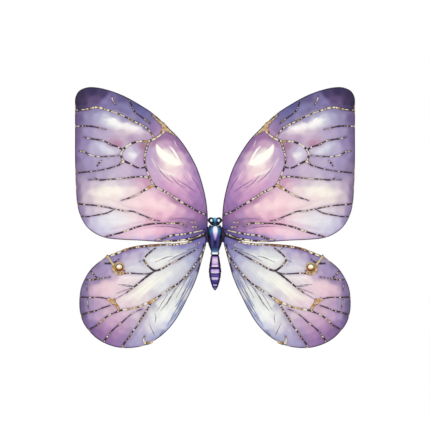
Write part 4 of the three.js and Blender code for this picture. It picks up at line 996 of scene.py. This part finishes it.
def edge_wire(wing):
    """A round wire along the outline, half the frame's thickness in radius, closed on itself."""
    loop = edge_loop(wing.edge, RIM_INSET, 1.6)
    points, quads = round_cord(loop, WIRE_RADIUS, WIRE_MIDDLE)
    count = len(loop)
    outside = soft_step(loop[:, 0], 300, 335)
    tint = wing.colour(loop) * (0.22 + 0.3 * outside)[:, None]
    metal = np.zeros(count)
    if wing.kind == "forewing":
        leading = soft_step(loop[:, 1], 90, 160) * (1 - outside)
        tint = layered(tint, 0.7 * leading, "#232048")
    else:
        cord = soft_step(loop[:, 0], 48, 62) * (loop[:, 1] > -72) * (1 - soft_step(loop[:, 0], 280, 292))
        tint = layered(tint, cord, RUSSET * (0.35 + 0.75 * wavy(count, 3, 61))[:, None])
        metal = cord * 0.3
    for index, (out, up, reach) in enumerate(EDGE_RUBS[wing.kind]):
        near = np.exp(-((loop - [out, up]) ** 2).sum(1) / reach**2)
        near = near * soft_step(wavy(count, 2.4, 70 + index), 0.1, 0.5)
        tint = layered(tint, near, GOLD * 0.6 + CREAM * 0.4)
        metal = np.maximum(metal, near * 0.7)
    return points, quads, (), {"tint": np.repeat(tint, CORD_SIDES, axis=0),
                               "metal": np.repeat(metal, CORD_SIDES)}


CLOTH_ROWS, CLOTH_COLS = 170, 200
BACK_SHADE = 0.86           # the cloth's back is this share of its front's colour


def cloth_of(wing):
    """Front and back grids a cloth's thickness apart, sewn together round the rim."""
    flat = cloth_grid(wing.edge, CLOTH_ROWS, CLOTH_COLS)
    y = wing.front(flat)
    count = len(flat)
    points = np.vstack([standing(flat, y), standing(flat, y + CLOTH_THICKNESS)])
    face = grid_faces(CLOTH_ROWS, CLOTH_COLS)
    index = np.arange(count).reshape(CLOTH_ROWS, CLOTH_COLS)
    rim = np.concatenate([index[0, :-1], index[:-1, -1], index[-1, :0:-1], index[:0:-1, 0]])
    after = np.roll(rim, -1)
    sides = np.stack([after, rim, rim + count, after + count], axis=1)
    wash = wing.colour(flat)
    return (points, np.vstack([face, face[:, ::-1] + count, sides]), (),
            {"wash": np.vstack([wash, wash * BACK_SHADE])})


def area_of(edge):
    """Shoelace area of the outline in square metres, with its width and height."""
    loop = edge_loop(edge, RIM_INSET)
    x, z = loop[:, 0] * MM, loop[:, 1] * MM
    area = abs((x * np.roll(z, -1) - z * np.roll(x, -1)).sum()) / 2
    return float(area), float(np.ptp(x)), float(np.ptp(z))


VEIN_NODES = {"forewing": ["forewing_upper_veins", "forewing_lower_veins"],
              "hindwing": ["hindwing_veins"]}


def wing_pair(kind):
    """Cloth, edge wire, gilding and ink of both wings of a kind, one side mirrored to the other."""
    wing = Wing(kind)
    makings = [("cloth", cloth_of(wing), wing.cloth, f"{kind}_fabric", [f"{kind}_panel"]),
               ("edge_wire", edge_wire(wing), WIRE_LACQUER, "wing_wire", [f"{kind}_frame"]),
               ("gilding", gilding_of(wing), GOLD_LEAF, "gilt", VEIN_NODES[kind]),
               ("ink_lines", inked_of(wing), GOLD_LEAF, "gilt", [])]
    area, width, height = area_of(wing.edge)
    for name, side in SIDES.items():
        for making, (points, quads, caps, attributes), material, slot, nodes in makings:
            points = on_side(points, side)
            build(f"{kind}_{making}_{name}", points, outward(points, quads, caps),
                                   f"{kind}_{name}", material,
                                   [f"{node}_{name}" for node in nodes], attributes)


wing_pair("forewing")
wing_pair("hindwing")


# ---------------------------------------------------------------- turned pieces

def turned_upright(profile, centre, depth=1.0, around=LATHE_SIDES, back=None, step=0.6):
    """Turns a [radius, height] profile about an upright axis; depth scales Y and back clips it."""
    line = smooth_line(profile, step) * MM
    turn = turned(around)
    x = centre[0] + line[:, :1] * np.cos(turn)
    y = centre[1] + line[:, :1] * np.sin(turn) * depth
    y = np.minimum(y, back) if back is not None else y
    z = centre[2] + np.broadcast_to(line[:, 1:], x.shape)
    points = np.stack([x, y, z], axis=2).reshape(-1, 3)
    return points, grid_faces(len(line), around, wrap=True), end_caps(len(line), around)


POLE_GAP = 0.03         # radians short of a ball's poles, where flat caps close it


def dome(radius, depth, centre, rows):
    """A ball turned about an axis along -Y, its depth forward and back being given."""
    tilt = np.linspace(POLE_GAP, np.pi - POLE_GAP, rows)
    profile = np.column_stack([radius * np.sin(tilt), depth * np.cos(tilt)])
    points, quads, caps = turned_upright(profile, (0, 0, 0), around=GLASS_SIDES, step=0.5)
    points = np.stack([points[:, 0], -points[:, 2], points[:, 1]], axis=1) + np.array(centre)
    return points, quads, caps


def centre_of(node):
    """Middle of a CAD node's box."""
    low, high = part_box(node)
    return (low + high) / 2


# ---------------------------------------------------------------- jewelled body

THORAX_LOW, THORAX_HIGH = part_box("thorax_shell")
BODY_BACK = THORAX_HIGH.y
THORAX_HALF = (THORAX_HIGH.x - THORAX_LOW.x) / 2
BODY_DEPTH = 0.8            # the body's depth as a share of its width
BODY_AXIS = (0, THORAX_LOW.y + BODY_DEPTH * THORAX_HALF, 0)

# Profiles are [radius, up] in millimetres, from the foot.
THORAX_PROFILE = [[0.3, -41.5], [9.0, -41.5], [9.4, -41.1], [9.8, -40.2], [11.5, -36],
                  [14.2, -29], [16.5, -22], [18.3, -12], [18.6, -6], [17.9, 4], [15.8, 13],
                  [12.3, 19], [7.4, 22.4], [3, 22.95], [0.3, 23]]
HEAD_PROFILE = [[0.3, 23.6], [7.4, 23.6], [8.2, 24.1], [10.4, 25.4], [12.2, 28], [13, 32],
                [12.6, 35], [11.5, 38], [9.4, 41], [7, 42.5], [3, 43.4], [0.3, 43.5]]
WAIST_PROFILE = [[0.3, -50.9], [9.5, -50.9], [9.7, -50.2], [9.6, -49.2], [9.7, -48.6],
                 [9.9, -48.1], [10.7, -47.4], [10.9, -45.6], [10.7, -44], [10.1, -43.2], [10.0, -42.8],
                 [9.9, -42.2], [9.8, -41.6], [0.3, -41.6]]
WAIST_HALF = 10.6
ABDOMEN_OUTLINE = np.array([[10.2, -51], [13.2, -70], [15.4, -88], [14.9, -98], [13.6, -107],
                            [10.4, -119], [6.6, -130], [0.8, -138]])
ABDOMEN_JOINTS = [-51, -79.5, -94.2, -107.6, -124.6, -138]


def across_share(points, profile):
    """How far out a point is, as a share of the body's half-width at its height."""
    line = smooth_line(profile, 0.6)
    order = np.argsort(line[:, 1])
    half = np.interp(points[:, 2] / MM, line[order, 1], line[order, 0])
    return np.abs(points[:, 0]) / MM / np.maximum(half, 2)


def thorax_tint(points):
    """Navy, teal shoulders and an indigo belly; painted shade darkens the rim to near black, and a
    painted white highlight runs down the middle, fading to lilac, inside a fainter painted lilac spread.
    """
    x, z = points[:, 0] / MM, points[:, 2] / MM
    share = across_share(points, THORAX_PROFILE)
    tint = blend_rows(z, [[-42, "#7e9fc4"], [-38, "#3d5c8c"], [-31, "#232c5c"], [-24, "#2a2a60"],
                          [-12, "#231f52"], [-4, "#332e68"], [6, "#2f5482"], [14, "#3584ac"],
                          [23, "#256d90"]])
    violet = soft_step(share, 0.14, 0.36) * (1 - soft_step(share, 0.42, 0.62))
    tint = layered(tint, violet * soft_step(z, -36, -20) * (1 - soft_step(z, 0, 12)), "#4a4184")
    shoulder = soft_step(share, 0.42, 0.6) * (1 - soft_step(share, 0.7, 0.86)) * soft_step(z, -4, 8)
    tint = layered(tint, shoulder, "#2a6c94")
    belly = np.exp(-(x / 5) ** 2 - ((z + 19) / 8.5) ** 2)
    tint = layered(tint, belly * 0.9, "#130f3a")
    # Painted shade: the sides darken to near black towards the rim, where the surface turns away from
    # the light.
    rim_shade_start = np.interp(z, [-42, -36, -24, -6, 2, 10, 23], [0.66, 0.6, 0.56, 0.5, 0.6, 0.74, 0.72])
    tint = layered(tint, soft_step(share, rim_shade_start, rim_shade_start + 0.2), "#060c20")
    tint = layered(tint, soft_step(share, 0.84, 0.97), "#03050f")
    # Painted highlight: a white streak down the middle fading to lilac, with a fainter lilac spread of
    # painted light round it.
    half = np.interp(z, [-13, -8, 0, 8, 16, 21, 23.5], [0, 1.4, 3.8, 5.8, 5.6, 4.2, 0])
    painted_highlight = (1 - soft_step(np.abs(x - 0.8) - half, -1.6, 1.2)) * (half > 0)
    highlight_tint = blend_rows(z, [[-13, "#8f78c4"], [-4, "#b9a6e2"], [4, "#d9d1ef"], [12, "#f6f4fb"],
                          [21, "#f4f7fb"]])
    highlight_halo = (1 - soft_step(np.abs(x) - half, -1, 5)) * (half > 0) * 0.45
    tint = layered(tint, highlight_halo, "#8480c0")
    return layered(tint, painted_highlight, highlight_tint)


def head_tint(points):
    """Teal bridge between the eyes, brightest at the crown, over a near-black face."""
    x, z = points[:, 0] / MM, points[:, 2] / MM
    tint = blend_rows(z, [[24, "#17506c"], [28, "#123e58"], [31, "#0e2c44"], [36, "#1d6f98"],
                          [40, "#3fa0c6"], [43.5, "#7fc6de"]])
    bright = np.exp(-(x / 2.2) ** 2) * soft_step(z, 28, 40)
    tint = layered(tint, bright * 0.6, "#58b4dc")
    return layered(tint, soft_step(np.abs(x), 2.4, 5.2), "#050c1c")


def waist_tint(points):
    """Navy foot, a white band painted as a highlight and a steel-blue top, with painted shade darkening
    the sides.
    """
    x, z = points[:, 0] / MM, points[:, 2] / MM
    share = np.abs(x) / WAIST_HALF
    # The white band is a painted highlight round the ring.
    tint = blend_rows(z, [[-49.5, "#0b0a24"], [-48.2, "#120f30"], [-47.4, "#8d86b8"], [-46.8, "#f3f0f8"],
                          [-44, "#fbfafd"], [-43.2, "#c8d4e8"], [-42.2, "#5b7aa6"]])
    # Painted shade: the sides darken to navy-black where the ring turns away.
    return layered(tint, soft_step(share, 0.6, 0.84), "#070a20")


ABDOMEN_BOW = 0.66          # how far a band's middle hangs below its ends, in millimetres
# Colours down the abdomen by height: the pale bands at each plate's foot are painted highlights on its
# ridge.
ABDOMEN_BANDS = [
    [-51, "#1a1140"], [-52.4, "#3a2668"], [-54, "#b48fd0"], [-57, "#d3b0dc"], [-62, "#e3c9e3"],
    [-66, "#dcc2e2"], [-70, "#cbacda"], [-73.6, "#a37cc4"], [-74.8, "#efe4f6"], [-77.4, "#e6d6f2"],
    [-78.6, "#5a3c8c"], [-79.5, "#160c36"], [-82.5, "#1b0f3c"], [-84, "#8a6abc"], [-86, "#c9b2e0"],
    [-90, "#d8c6ea"], [-91.2, "#b79cdc"], [-92, "#f4ecfa"], [-93.6, "#efe6f8"], [-94.4, "#4a3480"],
    [-95.2, "#1e1344"], [-97, "#4a3a80"], [-100, "#6a5a9c"], [-102.6, "#33246a"], [-104, "#6c55a4"],
    [-105, "#e2d6f2"], [-108.8, "#dccff0"], [-110, "#9a7cc8"], [-112, "#3c2c74"], [-116, "#4a3a84"],
    [-119, "#2a1c5c"], [-121.4, "#20154a"], [-122.4, "#c9bcea"], [-125, "#c2b4e6"],
    [-126, "#2c2160"], [-128, "#1a1240"], [-131, "#7f70b0"], [-133, "#5c4d90"], [-135, "#140d30"],
    [-138, "#0a0620"],
]


def abdomen_tint(points):
    """Lilac plates with a pale painted highlight on the ridge at the foot of each, dark grooves, and
    painted shade darkening the sides through violet to a navy rim.
    """
    x, z = np.abs(points[:, 0]) / MM, points[:, 2] / MM
    half = np.interp(-z, -ABDOMEN_OUTLINE[:, 1], ABDOMEN_OUTLINE[:, 0])
    share = x / np.maximum(half, 1.2)
    z = z + ABDOMEN_BOW * (1 - share**2)
    tint = blend_rows(z, sorted(ABDOMEN_BANDS))
    # Painted shade: the sides darken through violet to near black where the plates turn away.
    panel = np.interp(-z, [51, 70, 90, 110, 125, 135], [0.66, 0.6, 0.7, 0.64, 0.58, 0.4])
    violet = soft_step(share, panel - 0.18, panel)
    tint = layered(tint, violet * 0.8, "#3d2386")
    return layered(tint, soft_step(share, panel - 0.04, panel + 0.14), "#060318")


def abdomen_profile(index):
    """A segment's outline: the abdomen's curve with rounded shoulders and a raised foot ridge."""
    top, bottom = ABDOMEN_JOINTS[index] - 0.15, ABDOMEN_JOINTS[index + 1] + 0.15
    curve = smooth_line(ABDOMEN_OUTLINE, 0.5)
    share = np.array([0, 0.02, 0.06, 0.12, 0.2, 0.4, 0.6, 0.8, 0.92, 0.97, 1])
    swell = np.array([0.9, 0.97, 1.02, 1.03, 1.01, 1.0, 1.0, 1.0, 0.98, 0.95, 0.88])
    up = bottom + (top - bottom) * share
    radius = np.interp(-up, -curve[:, 1], curve[:, 0]) * swell
    start, end = [[0.15, bottom]], [[0.3, top]]
    if index == len(ABDOMEN_JOINTS) - 2:
        radius[0] = 0.25
        start = [[0.05, bottom]]
    return start + np.column_stack([radius, up]).tolist() + end


def body_piece(name, profile, tint_of, node):
    """An enamelled form turned about the body's axis, flat at its back."""
    points, quads, caps = turned_upright(profile, BODY_AXIS, BODY_DEPTH, back=BODY_BACK)
    build(name, points, outward(points, quads, caps), "harness", ENAMEL, [node],
          {"tint": tint_of(points)})


body_piece("thorax_enamel", THORAX_PROFILE, thorax_tint, "thorax_shell")
body_piece("head_enamel", HEAD_PROFILE, head_tint, "head_shell")
body_piece("waist_band", WAIST_PROFILE, waist_tint, "waist_ring")
for number in range(len(ABDOMEN_JOINTS) - 1):
    body_piece(f"abdomen_plate_{number + 1}", abdomen_profile(number), abdomen_tint,
               f"abdomen_segment_{number + 1}")


def eye_tint(points, centre, side):
    """Near-black glass with a soft white catchlight towards the inside and below."""
    x, z = (points[:, 0] - centre.x) / MM * side, (points[:, 2] - centre.z) / MM
    glint = np.sqrt(((x + 1.0) / 3.3) ** 2 + ((z + 0.2) / 3.9) ** 2)
    tint = np.broadcast_to(linear(["#070b18"])[0], (len(points), 3))
    tint = layered(tint, soft_step(z, 4, 8) * 0.5, "#1c4c66")
    tint = layered(tint, (1 - soft_step(glint, 0.9, 1.35)) * 0.5, "#5c6f8c")
    return layered(tint, 1 - soft_step(glint, 0.55, 1.0), "#f2f3f6")


for name, side in SIDES.items():
    middle = centre_of(f"eye_{name}")
    low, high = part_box(f"eye_{name}")
    radius = (high.z - low.z) / 2 / MM
    points, quads, caps = dome(radius, radius, middle, 40)
    build(f"eye_glass_{name}", points, outward(points, quads, caps), "harness", EYE_GLASS,
          [f"eye_{name}"], {"tint": eye_tint(points, middle, side)})


# ---------------------------------------------------------------- bead and clips

# [radius, forward of the seat] round the bezel's section
BEZEL_PROFILE = [[7.2, 0], [11.2, 0], [11.9, 0.4], [12.3, 1.3], [12.0, 2.4], [11.1, 3.2],
                 [10.0, 3.5], [8.9, 3.0], [8.1, 2.1], [7.6, 1.4], [7.2, 0.9]]
PEARL_RADIUS = 6.9


def bead_tint(points, centre):
    """Gold rim, with painted light paling it above and painted shade turning it amber-brown below and
    dark in its hollow.
    """
    x, z = (points[:, 0] - centre[0]) / MM, (points[:, 2] - centre[2]) / MM
    reach = np.sqrt(x**2 + z**2)
    tint = np.broadcast_to(linear(["#d8b46a"])[0], (len(points), 3))
    # Painted shade: amber below and dark brown in the hollow round the pearl; painted light pales the
    # top.
    tint = layered(tint, soft_step(-z, -2, 8) * 0.8, "#a8682c")
    tint = layered(tint, (1 - soft_step(reach, 7.4, 9.2)) * 0.75, "#5c3216")
    return layered(tint, soft_step(z, 3, 10) * 0.6, "#efe0b4")


def pearl_tint(points, centre):
    """Amber painted shade at the foot, cream above and a painted white highlight a little above the
    middle.
    """
    x, z = (points[:, 0] - centre[0]) / MM, (points[:, 2] - centre[2]) / MM
    light = np.exp(-((x / 4.2) ** 2 + ((z - 1.4) / 3.6) ** 2))
    tint = blend_rows(z, [[-7, "#a9692f"], [-3.6, "#d29a55"], [-1, "#ecd9b4"], [3, "#f4ead4"],
                          [7, "#d9c49a"]])
    return layered(tint, light, "#fffdf6")


def bead(name):
    """A gilt ring turned about an axis along Y, with a pearl in it."""
    middle = centre_of(f"bead_pearl_{name}")
    low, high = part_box(f"bead_pearl_{name}")
    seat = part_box(f"bead_bezel_{name}")[1].y
    ring = smooth_line(BEZEL_PROFILE + BEZEL_PROFILE[:1], 0.3)[:-1]
    turn = turned(LATHE_SIDES)
    x = middle.x + ring[:, :1] * MM * np.cos(turn)
    z = middle.z + ring[:, :1] * MM * np.sin(turn)
    y = np.broadcast_to(seat - ring[:, 1:] * MM, x.shape)
    points = np.stack([x, y, z], axis=2).reshape(-1, 3)
    build(f"bead_bezel_ring_{name}", points, outward(points, ring_faces(len(ring), LATHE_SIDES)),
          f"hindwing_{name}", GOLD_LEAF, [f"bead_bezel_{name}"],
          {"tint": bead_tint(points, middle), "metal": np.full(len(points), 0.8)})
    points, quads, caps = dome(PEARL_RADIUS, (high.y - low.y) / 2 / MM, middle, 36)
    build(f"bead_pearl_dome_{name}", points, outward(points, quads, caps), f"hindwing_{name}",
          PEARL, [f"bead_pearl_{name}"], {"tint": pearl_tint(points, middle)})


for name in SIDES:
    bead(name)


CLIP_ROWS = 40
CLIP_HALF_WIDTH, CLIP_HALF_DEPTH = 1.15 * MM, 0.55 * MM
CLIP_RISE = 1.2 * MM        # how far a forewing clip climbs from its inner end to its outer one


def clip_bar(node, body, seed):
    """A gilt clip as a round-ended bar between its CAD node's far corners, slightly beaten."""
    low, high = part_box(node)
    if "forewing" in node:
        middle = (low.z + high.z) / 2
        slope = CLIP_RISE / 2 if node.endswith("right") else -CLIP_RISE / 2
        ends = np.array([[low.x, middle - slope], [high.x, middle + slope]])
    else:
        rising = node.endswith("left")
        ends = np.array([[low.x, low.z if rising else high.z],
                         [high.x, high.z if rising else low.z]])
    line = ends[0] + (ends[1] - ends[0]) * np.linspace(0.04, 0.96, CLIP_ROWS)[:, None]
    along = (ends[1] - ends[0]) / np.linalg.norm(ends[1] - ends[0])
    across = np.array([-along[1], along[0]])
    end = np.linspace(-1, 1, CLIP_ROWS)
    beaten = 0.8 + 0.4 * wavy(CLIP_ROWS, 5, seed)
    half = CLIP_HALF_WIDTH * np.sqrt(np.clip(1 - end**8, 0.02, 1)) * beaten
    turn = turned(CORD_SIDES)
    flat = line[:, None, :] + across * (half[:, None] * np.cos(turn))[..., None]
    y = (low.y + high.y) / 2 + CLIP_HALF_DEPTH * np.sin(turn) * (half / half.max())[:, None]
    points = np.stack([flat[..., 0], y, flat[..., 1]], axis=2).reshape(-1, 3)
    gold = soft_step(wavy(CLIP_ROWS, 4, seed + 9), 0.2, 0.6)
    tint = layered(RUSSET, gold, GOLD * 0.4 + CREAM * 0.6)
    faces = outward(points, grid_faces(CLIP_ROWS, CORD_SIDES, wrap=True),
                    end_caps(CLIP_ROWS, CORD_SIDES))
    build(node.replace("_clip", "_gilt_clip"), points, faces, body, GOLD_LEAF, [node],
          {"tint": np.repeat(tint, CORD_SIDES, axis=0), "metal": np.full(len(points), 0.5)})


for name in SIDES:
    clip_bar(f"forewing_upper_clip_{name}", f"forewing_{name}", 301)
    clip_bar(f"forewing_lower_clip_{name}", f"forewing_{name}", 302)
    clip_bar(f"hindwing_root_clip_{name}", f"hindwing_{name}", 303)


# ---------------------------------------------------------------- hardware

FINISHES = {"harness_plate": HARNESS_PLASTIC, "body_keel": STEEL, "thorax_screw_upper": STEEL,
            "thorax_screw_lower": STEEL}
for name in SIDES:
    for node in (f"hinge_rod_{name}", f"hinge_rod_cap_{name}", f"strap_anchor_upper_{name}",
                 f"strap_anchor_lower_{name}"):
        FINISHES[node] = STEEL
    for node in (f"forewing_leaf_{name}", f"hindwing_leaf_{name}"):
        FINISHES[node] = HINGE_STEEL
for node, finish in FINISHES.items():
    mesh = NODES[node].data
    mesh.materials.clear()
    mesh.materials.append(finish)


# ---------------------------------------------------------------- arm straps

# [back from the strap's flat run, up] in millimetres, round the loop an arm goes through
STRAP_LINE = [[0, 58], [0.1, 70], [0.8, 77], [4, 86], [14, 95], [31, 98], [54, 91], [78, 68],
              [98, 34], [108, -8], [104, -50], [84, -84], [54, -99], [28, -95], [12, -85],
              [4, -74], [0.8, -65], [0.1, -58], [0, -44]]
STRAP_THICKNESS = 1.6
STRAP_WIDTH = 20.0
STRAP_PRESSED = 0.92        # the webbing's thickness as a share of its CAD node's


def rounded(wave, power):
    """A sine or cosine with its flanks filled out, for a section between an oval and a box."""
    return np.sign(wave) * np.abs(wave) ** power


def strap_band(name):
    """Webbing: a flat oval section carried along the loop, with slightly thinner selvedges."""
    low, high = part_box(f"arm_strap_{name}")
    start = low.y / MM + STRAP_THICKNESS / 2
    line = smooth_line([[start + back, up] for back, up in STRAP_LINE], 1.6)
    along = directions(line)
    across = np.stack([-along[:, 1], along[:, 0]], axis=1)
    turn = turned(WEBBING_SIDES)
    wide = rounded(np.cos(turn), 0.35) * STRAP_WIDTH / 2
    thick = rounded(np.sin(turn), 0.6) * STRAP_THICKNESS / 2 * STRAP_PRESSED
    x = np.broadcast_to((low.x + high.x) / 2 + wide * MM, (len(line), WEBBING_SIDES))
    flat = line[:, None, :] + across[:, None, :] * thick[None, :, None]
    points = np.stack([x, flat[..., 0] * MM, flat[..., 1] * MM], axis=2).reshape(-1, 3)
    faces = outward(points, grid_faces(len(line), WEBBING_SIDES, wrap=True),
                    end_caps(len(line), WEBBING_SIDES))
    build(f"arm_strap_webbing_{name}", points, faces, "harness", ELASTIC,
          [f"arm_strap_{name}"], {"run": np.repeat(run_of(line) * MM, WEBBING_SIDES)})


for name in SIDES:
    strap_band(name)


# ---------------------------------------------------------------- back pad

PAD_SHRINK = [0.96, 0.78, 0.96]     # the foam's share of its CAD node before it swells
PAD_CAP = 3.0 * MM                  # how far a point of it may swell
PAD_CLEARANCE = 0.2 * MM            # kept inside its CAD node's box
PAD_PRESSURE = 4
PAD_FRAMES = 20


def coordinates(mesh):
    """A mesh's vertex positions as rows."""
    points = np.empty(len(mesh.vertices) * 3)
    mesh.vertices.foreach_get("co", points)
    return points.reshape(-1, 3)


def swollen(pad, before):
    """The pad's points after cloth pressure has blown it up, none moved further than its cap."""
    scene = bpy.context.scene
    cloth = pad.modifiers.new("swell", "CLOTH")
    cloth.settings.use_pressure = True
    cloth.settings.uniform_pressure_force = PAD_PRESSURE
    cloth.settings.effector_weights.gravity = 0
    cloth.point_cache.frame_start = 1
    cloth.point_cache.frame_end = PAD_FRAMES
    for number in range(1, PAD_FRAMES + 1):
        scene.frame_set(number)
    move = coordinates(pad.evaluated_get(bpy.context.evaluated_depsgraph_get()).data) - before
    pad.modifiers.remove(cloth)
    scene.frame_set(1)
    reach = np.linalg.norm(move, axis=1)
    return before + move * np.minimum(1, PAD_CAP / np.maximum(reach, 1e-9))[:, None]


def back_pad():
    """Foam under jersey: the pad's solid, a little smaller, swollen by cloth pressure."""
    pad = linked("back_pad_cushion", NODES["back_pad"].data.copy())
    low, high = (np.array(corner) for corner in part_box("back_pad"))
    middle = (low + high) / 2
    shrunk = (coordinates(pad.data) - middle) * PAD_SHRINK + middle
    pad.data.vertices.foreach_set("co", shrunk.ravel())
    weld = pad.modifiers.new("weld", "WELD")
    weld.merge_threshold = 1e-5
    remesh = pad.modifiers.new("remesh", "REMESH")
    remesh.mode = "VOXEL"
    remesh.voxel_size = 4 * MM
    bpy.context.view_layer.objects.active = pad
    for modifier in ("weld", "remesh"):
        with bpy.context.temp_override(object=pad, active_object=pad, selected_objects=[pad]):
            bpy.ops.object.modifier_apply(modifier=modifier)
    mesh = pad.data
    points = coordinates(mesh)
    points = swollen(pad, points)
    held = np.clip(points, low + PAD_CLEARANCE, high - PAD_CLEARANCE)
    mesh.vertices.foreach_set("co", held.ravel())
    mesh.update()
    mesh.materials.clear()
    mesh.materials.append(PAD_CLOTH)
    mesh.polygons.foreach_set("use_smooth", [True] * len(mesh.polygons))
    finer = pad.modifiers.new("finer", "SUBSURF")
    finer.levels = finer.render_levels = 1
    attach(pad, "harness")
    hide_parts("back_pad")


# [out, up] in millimetres round one half of the pad, from its top middle to its foot
PAD_OUTLINE = [[0, 17], [10, 17], [16, 17.6], [23, 28], [31, 56], [36, 77], [38.5, 80], [41, 78],
               [42, 60], [42, 10], [42, -40], [41, -52], [38, -52], [30, -35], [21, -17],
               [16, -15], [8, -15], [0, -15]]
PIPING_RADIUS = 1.3 * MM


def pad_piping():
    """Welt round the pad: a round cord along its outline, halfway through its thickness."""
    half = np.array(PAD_OUTLINE, float)
    loop = smooth_line(np.vstack([half, (half * [-1, 1])[-2:0:-1]]), 1.5, closed=True)[:-1]
    low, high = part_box("back_pad")
    points, quads = round_cord(loop, PIPING_RADIUS, (low.y + high.y) / 2)
    build("back_pad_piping", points, outward(points, quads), "harness", PIPING_CLOTH)


back_pad()
pad_piping()


# ---------------------------------------------------------------- floor, light and camera

FLOOR_DROP = 0.9
FLOOR_SIZE = 30.0


def floor():
    """A pale sheet of floor well below the hanging wings."""
    half = FLOOR_SIZE / 2
    mesh = bpy.data.meshes.new("studio_floor")
    corners = [(-half, -half, -FLOOR_DROP), (half, -half, -FLOOR_DROP), (half, half, -FLOOR_DROP),
               (-half, half, -FLOOR_DROP)]
    mesh.from_pydata(corners, [], [(0, 1, 2, 3)])
    material, _, shader = nodes_of("pale studio paint")
    shader.inputs["Base Color"].default_value = (1, 1, 1, 1)
    shader.inputs["Roughness"].default_value = 1
    shader.inputs["Specular IOR Level"].default_value = 0
    mesh.materials.append(material)
    linked("studio_floor", mesh)


def key_light(place, size, energy, aim):
    """One large soft lamp turned to its aim."""
    lamp = bpy.data.lights.new("key_light", "AREA")
    lamp.size = size
    lamp.energy = energy
    light = linked("key_light", lamp)
    light.location = place
    light.rotation_euler = (Vector(place) - Vector(aim)).to_track_quat("Z", "Y").to_euler()


def studio_light():
    """Even white light, with glossy surfaces mirroring a softbox that darkens to the horizon."""
    world = bpy.data.worlds.new("studio")
    bpy.context.scene.world = world
    world.use_nodes = True
    tree = world.node_tree
    open_sky = tree.nodes["Background"]
    open_sky.inputs["Color"].default_value = (1, 1, 1, 1)
    softbox = tree.nodes.new("ShaderNodeBackground")
    direction = tree.nodes.new("ShaderNodeTexCoord")
    axes = tree.nodes.new("ShaderNodeSeparateXYZ")
    rays = tree.nodes.new("ShaderNodeLightPath")
    choose = tree.nodes.new("ShaderNodeMixShader")
    tree.links.new(direction.outputs["Generated"], axes.inputs["Vector"])
    tree.links.new(ramp(tree, axes.outputs["Z"], 0.1, 0.9, 0.16, 1.3), softbox.inputs["Strength"])
    tree.links.new(rays.outputs["Is Glossy Ray"], choose.inputs[0])
    tree.links.new(open_sky.outputs[0], choose.inputs[1])
    tree.links.new(softbox.outputs[0], choose.inputs[2])
    tree.links.new(choose.outputs[0], tree.nodes["World Output"].inputs["Surface"])


floor()
studio_light()
key_light((-1.6, -2.6, 2.2), size=1.2, energy=12, aim=(0, 0, 0.03))
bpy.context.scene.view_settings.view_transform = "Standard"

CAMERA_DISTANCE = 3.603
CAMERA_UP = 0.050
camera_data = bpy.data.cameras.new("camera")
camera_data.lens = 120
camera_data.sensor_width = 36
camera = linked("camera", camera_data)
camera.location = (0, -CAMERA_DISTANCE, CAMERA_UP)
camera.rotation_euler = (np.pi / 2, 0, 0)
bpy.context.scene.camera = camera
